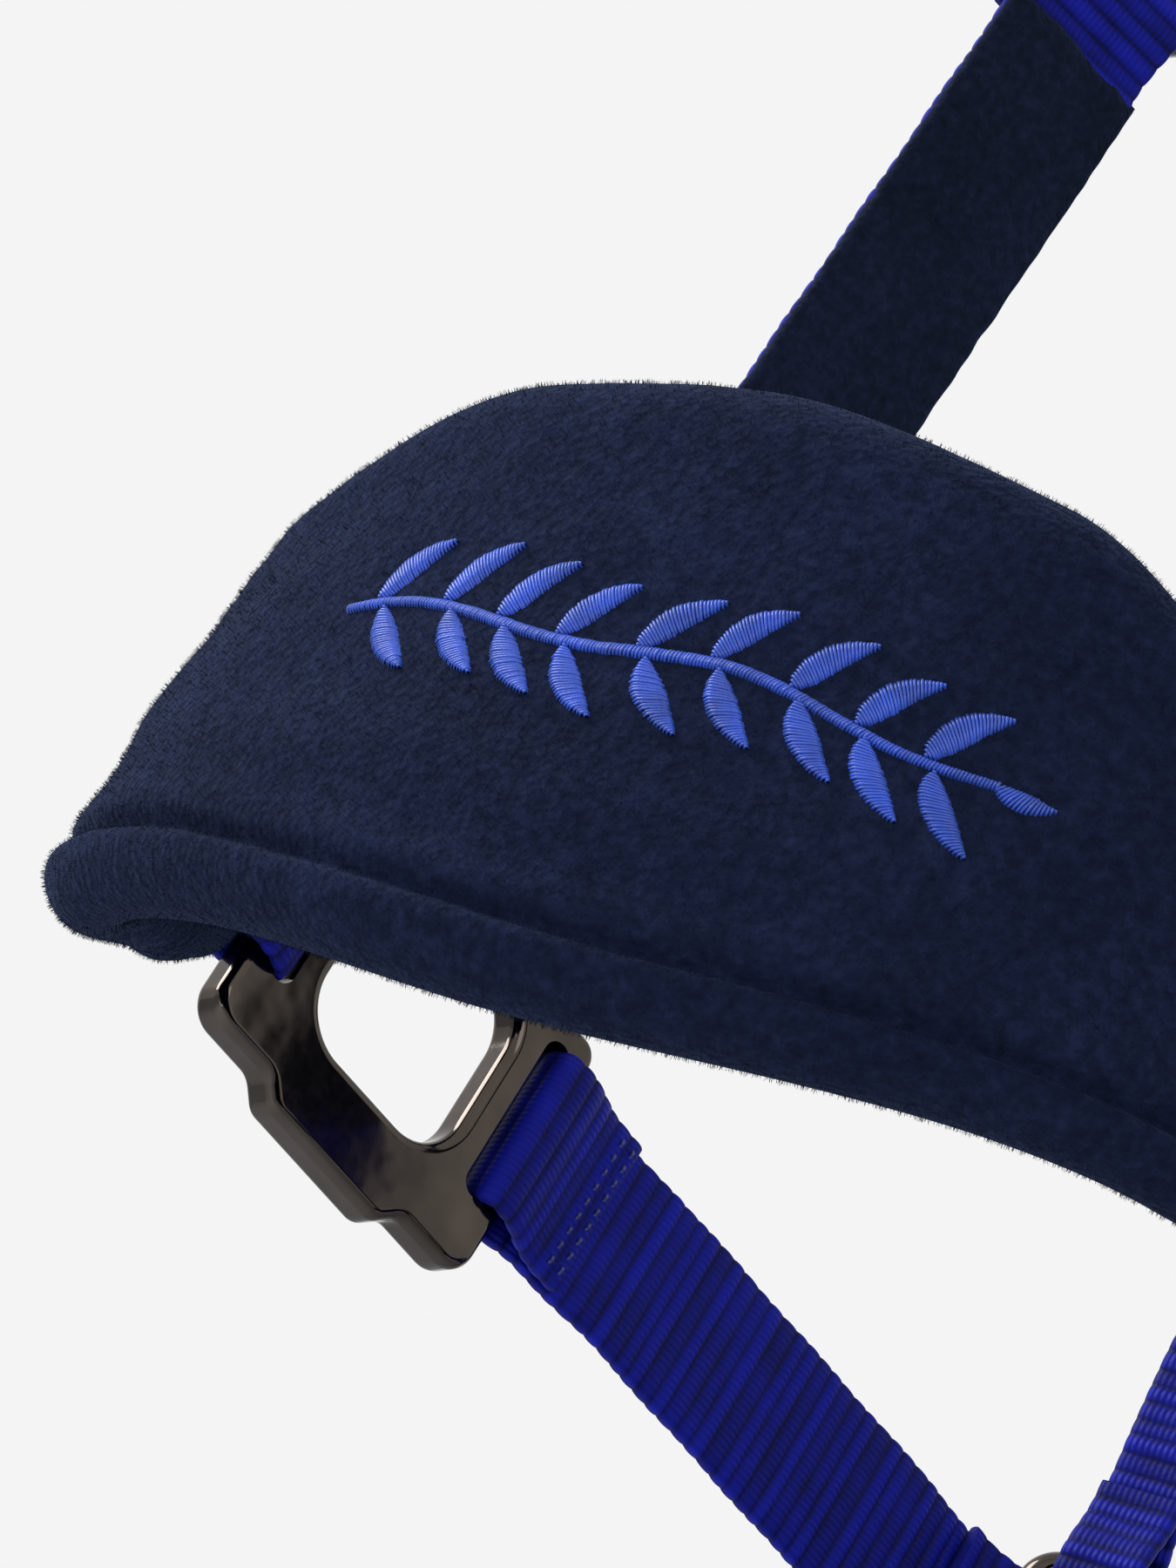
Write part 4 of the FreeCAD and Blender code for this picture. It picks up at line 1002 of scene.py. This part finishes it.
def crown_strap():
    """The crown's webbing, over the poll and through the buckle, and the buckle's own strap."""
    shoulder = ARCH_CENTRE - X_AXIS * CROWN_RADIUS
    first = ring_fold(upper_place["off"], "rear",
                      unit(shoulder - upper_place["off"].translation), 1)
    over = arch(CROWN_RADIUS)
    if first[-1][1].dot(Y_AXIS) < 0:
        first = [(point, -across) for point, across in first]
    width_way = turned(buckle_place, Z_AXIS)
    tail = [(at(buckle_place, x, y), width_way) for x, y in BILLET]
    path = first + spaced(first[-1], over[0], 14) + over + spaced(over[-1], tail[0], 3)
    for start, end in zip(tail, tail[1:]):
        path.append(start)
        if (end[0] - start[0]).length > 14 * MM:
            path += spaced(start, end, 3)
    path.append(tail[-1])
    piece = webbing("crown_web", path, step=CROWN_STEP)
    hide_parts("crown_strap")
    loop = ring_fold(upper_place["near"], "rear", crown_up, -1)
    bar = bar_frame(at(buckle_place, BUCKLE_LOW, 0), -crown_up, width_way)
    last = fold(bar, WIRE, WIRE, FLAP, 1)
    short = webbing("buckle_web", joined(loop, last, spaced(loop[-1], last[-1], 4)))
    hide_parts("buckle_strap")


CROWN_PAD_STEPS = 72
CHANNEL_DEPTH = 1.4 * MM


def crown_lining():
    """A quilted fleece pad under the crown, with two sewn channels along it."""
    stations = resampled(smoothed(arch(POLL_RADIUS + CROWN_PAD_THICK / 2), 2), LINING_ROW)
    total = stations[-1][3]
    vertices = []
    for point, along, across, distance in stations:
        normal = unit(across.cross(along))
        if normal.dot(point - ARCH_CENTRE) < 0:
            normal = -normal
        far = abs(distance / total * 2 - 1)
        close = math.sqrt(max(0.03, 1 - (max(0.0, far - 0.93) / 0.07) ** 2))
        for sideways, outward in spokes(CROWN_PAD_STEPS):
            share = squarer(sideways, 0.6)
            side = squarer(outward, 0.65)
            height = side * CROWN_PAD_THICK / 2 * close
            if side < 0:
                lump = noise.noise(Vector((distance * 60, share * 2, side))) * 0.5 * MM
                height -= CHANNEL_DEPTH * bell(abs(share), 0.42, 0.06) * side + lump
            vertices.append(point + across * share * CROWN_PAD_WIDTH / 2 + normal * height)
    obj = mesh_object("crown_fleece", vertices, grid_faces(len(stations), CROWN_PAD_STEPS))
    dress(obj, FLEECE)
    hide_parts("crown_pad")


KEEPER_WIDTH = 9.0 * MM
KEEPER_THICK = 1.5 * MM
KEEPER_RELIEF = 0.2 * MM
KEEPER_HALF = WEB_WIDTH / 2 + 4 * GAP + 0.8 * MM
KEEPER_LOW = -(WEB_THICK + 2 * GAP + 0.8 * MM)
KEEPER_HIGH = LAID + WEB_THICK / 2 + 2 * GAP + 0.9 * MM
KEEPER_CORNER = 1.0 * MM


def keeper():
    """A woven loop round the crown strap's free end and the buckle strap."""
    corners = [Vector(corner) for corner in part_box("crown_keeper")]
    local = buckle_place.inverted() @ ((corners[0] + corners[1]) / 2)
    low, high, half, cut = KEEPER_LOW, KEEPER_HIGH, KEEPER_HALF, KEEPER_CORNER
    outline = [(low, 0), (low, half - cut), (low + cut, half), (high - cut, half),
               (high, half - cut)]
    outline += [(y, -z) for y, z in reversed(outline)]
    across = turned(buckle_place, X_AXIS)
    path = [(at(buckle_place, local.x, y, z), across) for y, z in outline]
    piece = webbing("crown_keeper_web", path, width=KEEPER_WIDTH, thick=KEEPER_THICK,
                    relief=KEEPER_RELIEF, body="crown_keeper", rounds=2)
    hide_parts("crown_keeper")


crown_strap()
crown_lining()
keeper()


# ---- throat and jaw

THROAT_REACH = 118.0 * MM
THROAT_DROP = 92.0 * MM
THROAT_WIDE = 33.0 * MM
THROAT_GAP = 17.0 * MM


SNAP_REACH = 65.5 * MM
SNAP_RISE = 9.0 * MM
SWIVEL_BAR = 2.0 * MM
THROAT_FLAP = FLAP - 4 * MM
ROLL_ROW = 0.9 * MM
ROLL_SIDES = 40
ROLL_NECK = 9.0 * MM
ROLL_SEAM = 0.9 * MM
ROLL_LUMP = 0.35 * MM


def throat_ends():
    """The off end at the upper ring and the near end at the snap's swivel."""
    level_off = turned(upper_place["off"], Y_AXIS)
    off_end = tab_frame(upper_place["off"], "side", unit(level_off + Y_AXIS))
    up = turned(upper_place["near"], X_AXIS)
    along = unit(Y_AXIS - up * Y_AXIS.dot(up))
    grip = at(upper_place["near"], 0, (RING_OPENING / 2 + RING_REACH) / 2)
    snap = frame_at(grip, along, up)
    near_frame = bar_frame(at(snap, SNAP_REACH, SNAP_RISE), Y_AXIS, turned(snap, Z_AXIS))
    return off_end, (near_frame, SWIVEL_BAR, SWIVEL_BAR)


def rolled(name, points, radius):
    """A rolled fleece strap: a soft tube with a seam along its inside."""
    stations = resampled(smoothed([(point, Z_AXIS) for point in points], 4), ROLL_ROW)
    total = stations[-1][3]
    vertices = []
    lateral = unit(stations[0][1].cross(Z_AXIS))
    for point, along, _, distance in stations:
        lateral = unit(lateral - along * lateral.dot(along))
        other = unit(along.cross(lateral))
        neck = 0.72 + 0.28 * step_between(min(distance, total - distance), 0, ROLL_NECK)
        for index in range(ROLL_SIDES):
            angle = 2 * math.pi * index / ROLL_SIDES
            cosine, sine = math.cos(angle), math.sin(angle)
            lump = noise.noise(Vector((distance * 70, cosine, sine))) * ROLL_LUMP
            seam = ROLL_SEAM * bell(angle, math.pi, 0.16)
            spoke = lateral * cosine + other * sine
            vertices.append(point + spoke * (radius * neck + lump - seam))
    return mesh_object(name, vertices, grid_faces(len(stations), ROLL_SIDES))


def throat():
    """The rolled throat strap, hung between the off upper ring and the snap."""
    off_end, near_end = throat_ends()
    level = upper_place["off"].translation.z
    start = at(off_end[0], THROAT_FLAP, 0)
    end = at(near_end[0], THROAT_FLAP, 0)
    bottom = level - THROAT_DROP
    off_bend = Vector((-THROAT_WIDE + 2 * MM, THROAT_REACH * 0.6, level - 6 * MM))
    near_bend = Vector((end.x + 0.6 * MM, THROAT_REACH - 5 * MM, level - 3 * MM))
    route = [start, start.lerp(off_bend, 0.5), off_bend,
             Vector((-THROAT_WIDE, THROAT_REACH - 14 * MM, level - 42 * MM)),
             Vector((-THROAT_GAP, THROAT_REACH, bottom)),
             Vector((THROAT_GAP, THROAT_REACH, bottom)),
             Vector((THROAT_WIDE, THROAT_REACH - 2 * MM, level - 44 * MM)),
             near_bend, end.lerp(near_bend, 0.4), end]
    obj = rolled("throat_roll", route, THROAT_RADIUS + 0.3 * MM)
    dress(obj, LINING)
    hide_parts("throat_strap")
    for name, strap_end in (("off", off_end), ("near", near_end)):
        loop = fold(*strap_end, FLAP)[:-2]
        piece = webbing(f"{name}_throat_end", loop)
        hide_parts("throat_strap")


JAW_FLAP = 22.0 * MM


def jaw():
    """The strap from the chin link up to the bottom of the throat roll."""
    low = link_centre + CHIN_ACROSS * LINK_HALF
    high = Vector((0, THROAT_REACH, upper_place["off"].translation.z - THROAT_DROP))
    way = unit(high - low)
    first = fold(bar_frame(low, way, X_AXIS), WIRE, WIRE, FLAP, 1)
    grip = THROAT_RADIUS + 0.5 * MM
    last = fold(bar_frame(high, -way, X_AXIS), grip, grip, JAW_FLAP)
    path = joined(first, last, spaced(first[-1], last[-1], 12))
    piece = webbing("jaw_web", path, width=JAW_WIDTH)
    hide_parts("jaw_strap")


throat()
jaw()


# ---- hardware

PLATED = ("off_side_ring", "near_side_ring", "off_upper_ring", "near_upper_ring", "chin_link",
          "lead_ring", "crown_buckle_frame", "crown_buckle_roller", "crown_buckle_tongue",
          "crown_eyelets", "chin_slide", "snap_body", "snap_swivel")
BRIGHT = ("snap_bolt", "snap_spring")
for names, finish in ((PLATED, METAL), (BRIGHT, STEEL)):
    for node in names:
        for material_slot in frame["nodes"][node].material_slots:
            material_slot.material = finish


# ---- embroidery

THREAD_RADIUS = 0.21 * MM
THREAD_ARCH = 0.75 * MM
THREAD_SUNK = 0.25 * MM
THREAD_PITCH = 0.40 * MM
THREAD_SLANT = 0.35
THREAD_RINGS = 7
THREAD_SIDES = 5
THREAD_SPOKES = spokes(THREAD_SIDES)


def between(first, second, share):
    """A (place, height) point between two others."""
    return tuple(a + (b - a) * share for a, b in zip(first, second))


class Stitches:
    """Satin stitches laid on the pad: each one a rounded thread across a motif."""

    def __init__(self):
        self.vertices = []
        self.faces = []

    def thread(self, start, end):
        """One thread between two (place, height) points on the pad, arched over padding."""
        base = len(self.vertices)
        jitter = RNG.uniform(-0.05, 0.05) * MM
        for ring in range(THREAD_RINGS):
            share = ring / (THREAD_RINGS - 1)
            lift = THREAD_ARCH * (1 - (2 * share - 1) ** 4) - THREAD_SUNK + jitter
            centre, along, across, outward = pad_point(*between(start, end, share), lift)
            way = unit(along * (end[0] - start[0]) + across * (end[1] - start[1]))
            lateral = unit(way.cross(outward))
            for sideways, upward in THREAD_SPOKES:
                spoke = lateral * sideways + outward * upward
                self.vertices.append(centre + spoke * THREAD_RADIUS)
        self.faces += thread_faces(base, THREAD_RINGS, THREAD_SIDES)

    def satin(self, spine, half_width):
        """Threads side by side across a spine of (place, height) points."""
        lengths = [0.0]
        for first, second in zip(spine, spine[1:]):
            lengths.append(lengths[-1] + math.dist(first, second))
        total = lengths[-1]
        count = max(3, int(total / THREAD_PITCH))
        segment = 0
        for index in range(count + 1):
            want = total * index / count
            while segment < len(spine) - 2 and lengths[segment + 1] < want:
                segment += 1
            first, second = spine[segment], spine[segment + 1]
            span = lengths[segment + 1] - lengths[segment]
            x, y = between(first, second, (want - lengths[segment]) / span)
            dx, dy = (second[0] - first[0]) / span, (second[1] - first[1]) / span
            half = half_width(index / count) * (1 + RNG.uniform(-0.05, 0.05))
            nx, ny = -dy + dx * THREAD_SLANT, dx + dy * THREAD_SLANT
            size = math.hypot(nx, ny)
            nx, ny = nx / size * half, ny / size * half
            self.thread((x - nx, y - ny), (x + nx, y + ny))


CURVE_STEPS = 14


def bowed(start, end, bow):
    """Points of a shallow curve between two points."""
    points = []
    dx, dy = end[0] - start[0], end[1] - start[1]
    for index in range(CURVE_STEPS + 1):
        share = index / CURVE_STEPS
        off = bow * 4 * share * (1 - share)
        points.append((start[0] + dx * share - dy * off, start[1] + dy * share + dx * off))
    return points


ORNAMENT_HALF = 41.0 * MM
ORNAMENT_BASE = -3.5 * MM
ORNAMENT_SLOPE = -0.02
STEM_STEPS = 60
STEM_WAVE = 1.3 * MM
STEM_HALF = 0.95 * MM
LEAF_COUNT = 9
LEAF_WAY = (0.62, 0.785)
LEAF_LENGTH = 10.8 * MM
LEAF_HALF = 2.0 * MM
LEAF_BOW = 0.10
LEAF_ROOT = 0.8 * MM
LOWER_SHIFT = 1.6 * MM
TIP_LENGTH = 6.5 * MM
TIP_HALF = 1.5 * MM


def leaf(stitches, root, way, length, fat):
    """One pointed satin leaf."""
    end = (root[0] + way[0] * length, root[1] + way[1] * length)
    stitches.satin(bowed(root, end, LEAF_BOW if way[1] > 0 else -LEAF_BOW),
                   lambda share: fat * (0.16 + math.sin(math.pi * share ** 0.8) ** 0.8 * 0.84))


def ornament():
    """A leafy sprig in satin stitch along the middle of the noseband."""
    stitches = Stitches()
    spine = []
    for index in range(STEM_STEPS + 1):
        share = index / STEM_STEPS
        place = -ORNAMENT_HALF + 2 * ORNAMENT_HALF * share
        wave = STEM_WAVE * math.sin(share * math.pi * 4)
        spine.append((place, ORNAMENT_BASE + ORNAMENT_SLOPE * place + wave))
    stitches.satin(spine, lambda share: STEM_HALF * (0.75 + 0.25 * math.sin(math.pi * share)))
    for index in range(LEAF_COUNT):
        share = (index + 0.6) / (LEAF_COUNT + 0.4)
        x, y = spine[int(share * STEM_STEPS)]
        for up in (1, -1):
            root = (x + (LOWER_SHIFT if up < 0 else 0.0), y + up * LEAF_ROOT)
            leaf(stitches, root, (LEAF_WAY[0], LEAF_WAY[1] * up), LEAF_LENGTH, LEAF_HALF)
    leaf(stitches, spine[-1], (1.0, 0.0), TIP_LENGTH, TIP_HALF)
    obj = mesh_object("noseband_embroidery", stitches.vertices, stitches.faces)
    dress(obj, THREAD)


ornament()


# ---- nap

NAP_COUNT = 110000
NAP_LENGTH = 0.75 * MM
NAP_SEED = 11
NAP_ROOT = 0.2 * MM
FIBRE_HALF = 0.035 * MM


def nap(name, target, material):
    """Short curled fibres standing out of a fleece surface, rooted just below it."""
    rng = random.Random(NAP_SEED)
    mesh = target.data
    areas = []
    total = 0.0
    for polygon in mesh.polygons:
        total += polygon.area
        areas.append(total)
    vertices = []
    faces = []
    for _ in range(NAP_COUNT):
        polygon = mesh.polygons[bisect.bisect_left(areas, rng.random() * total)]
        corners = [mesh.vertices[i].co for i in polygon.vertices]
        a, b = rng.random(), rng.random()
        centre = corners[0].lerp(corners[1], a).lerp(corners[-1].lerp(corners[2], a), b)
        normal = polygon.normal
        way = Vector((rng.gauss(0, 1), rng.gauss(0, 1), rng.gauss(0, 1)))
        lean = unit(way - normal * way.dot(normal))
        reach = NAP_LENGTH * rng.uniform(0.35, 1.0)
        middle = centre + normal * reach * 0.55 + lean * reach * 0.20
        tip = centre + normal * reach * 0.90 + lean * reach * rng.uniform(0.2, 0.7)
        wide = unit(normal.cross(lean)) * FIBRE_HALF
        centre = centre - normal * NAP_ROOT
        base = len(vertices)
        vertices += [centre - wide, centre + wide, middle + wide, middle - wide, tip]
        faces += [(base, base + 1, base + 2, base + 3), (base + 3, base + 2, base + 4)]
    dress(mesh_object(name, vertices, faces), material)


nap("noseband_nap", pad, FLEECE)


# ---- floor

FLOOR_HALF = 20.0
FLOOR_LEVEL = -1.4
FLOOR_COLOR = (0.93, 0.93, 0.93, 1)
FLOOR_ROUGH = 0.9


def floor():
    """A plain pale floor well below the hanging headcollar."""
    material = bpy.data.materials.new("floor")
    material.use_nodes = True
    surface = material.node_tree.nodes["Principled BSDF"]
    surface.inputs["Base Color"].default_value = FLOOR_COLOR
    surface.inputs["Roughness"].default_value = FLOOR_ROUGH
    corners = [(x * FLOOR_HALF, y * FLOOR_HALF, FLOOR_LEVEL)
               for x, y in ((-1, -1), (1, -1), (1, 1), (-1, 1))]
    obj = mesh_object("floor", corners, [(0, 1, 2, 3)])
    obj.data.materials.append(material)


floor()
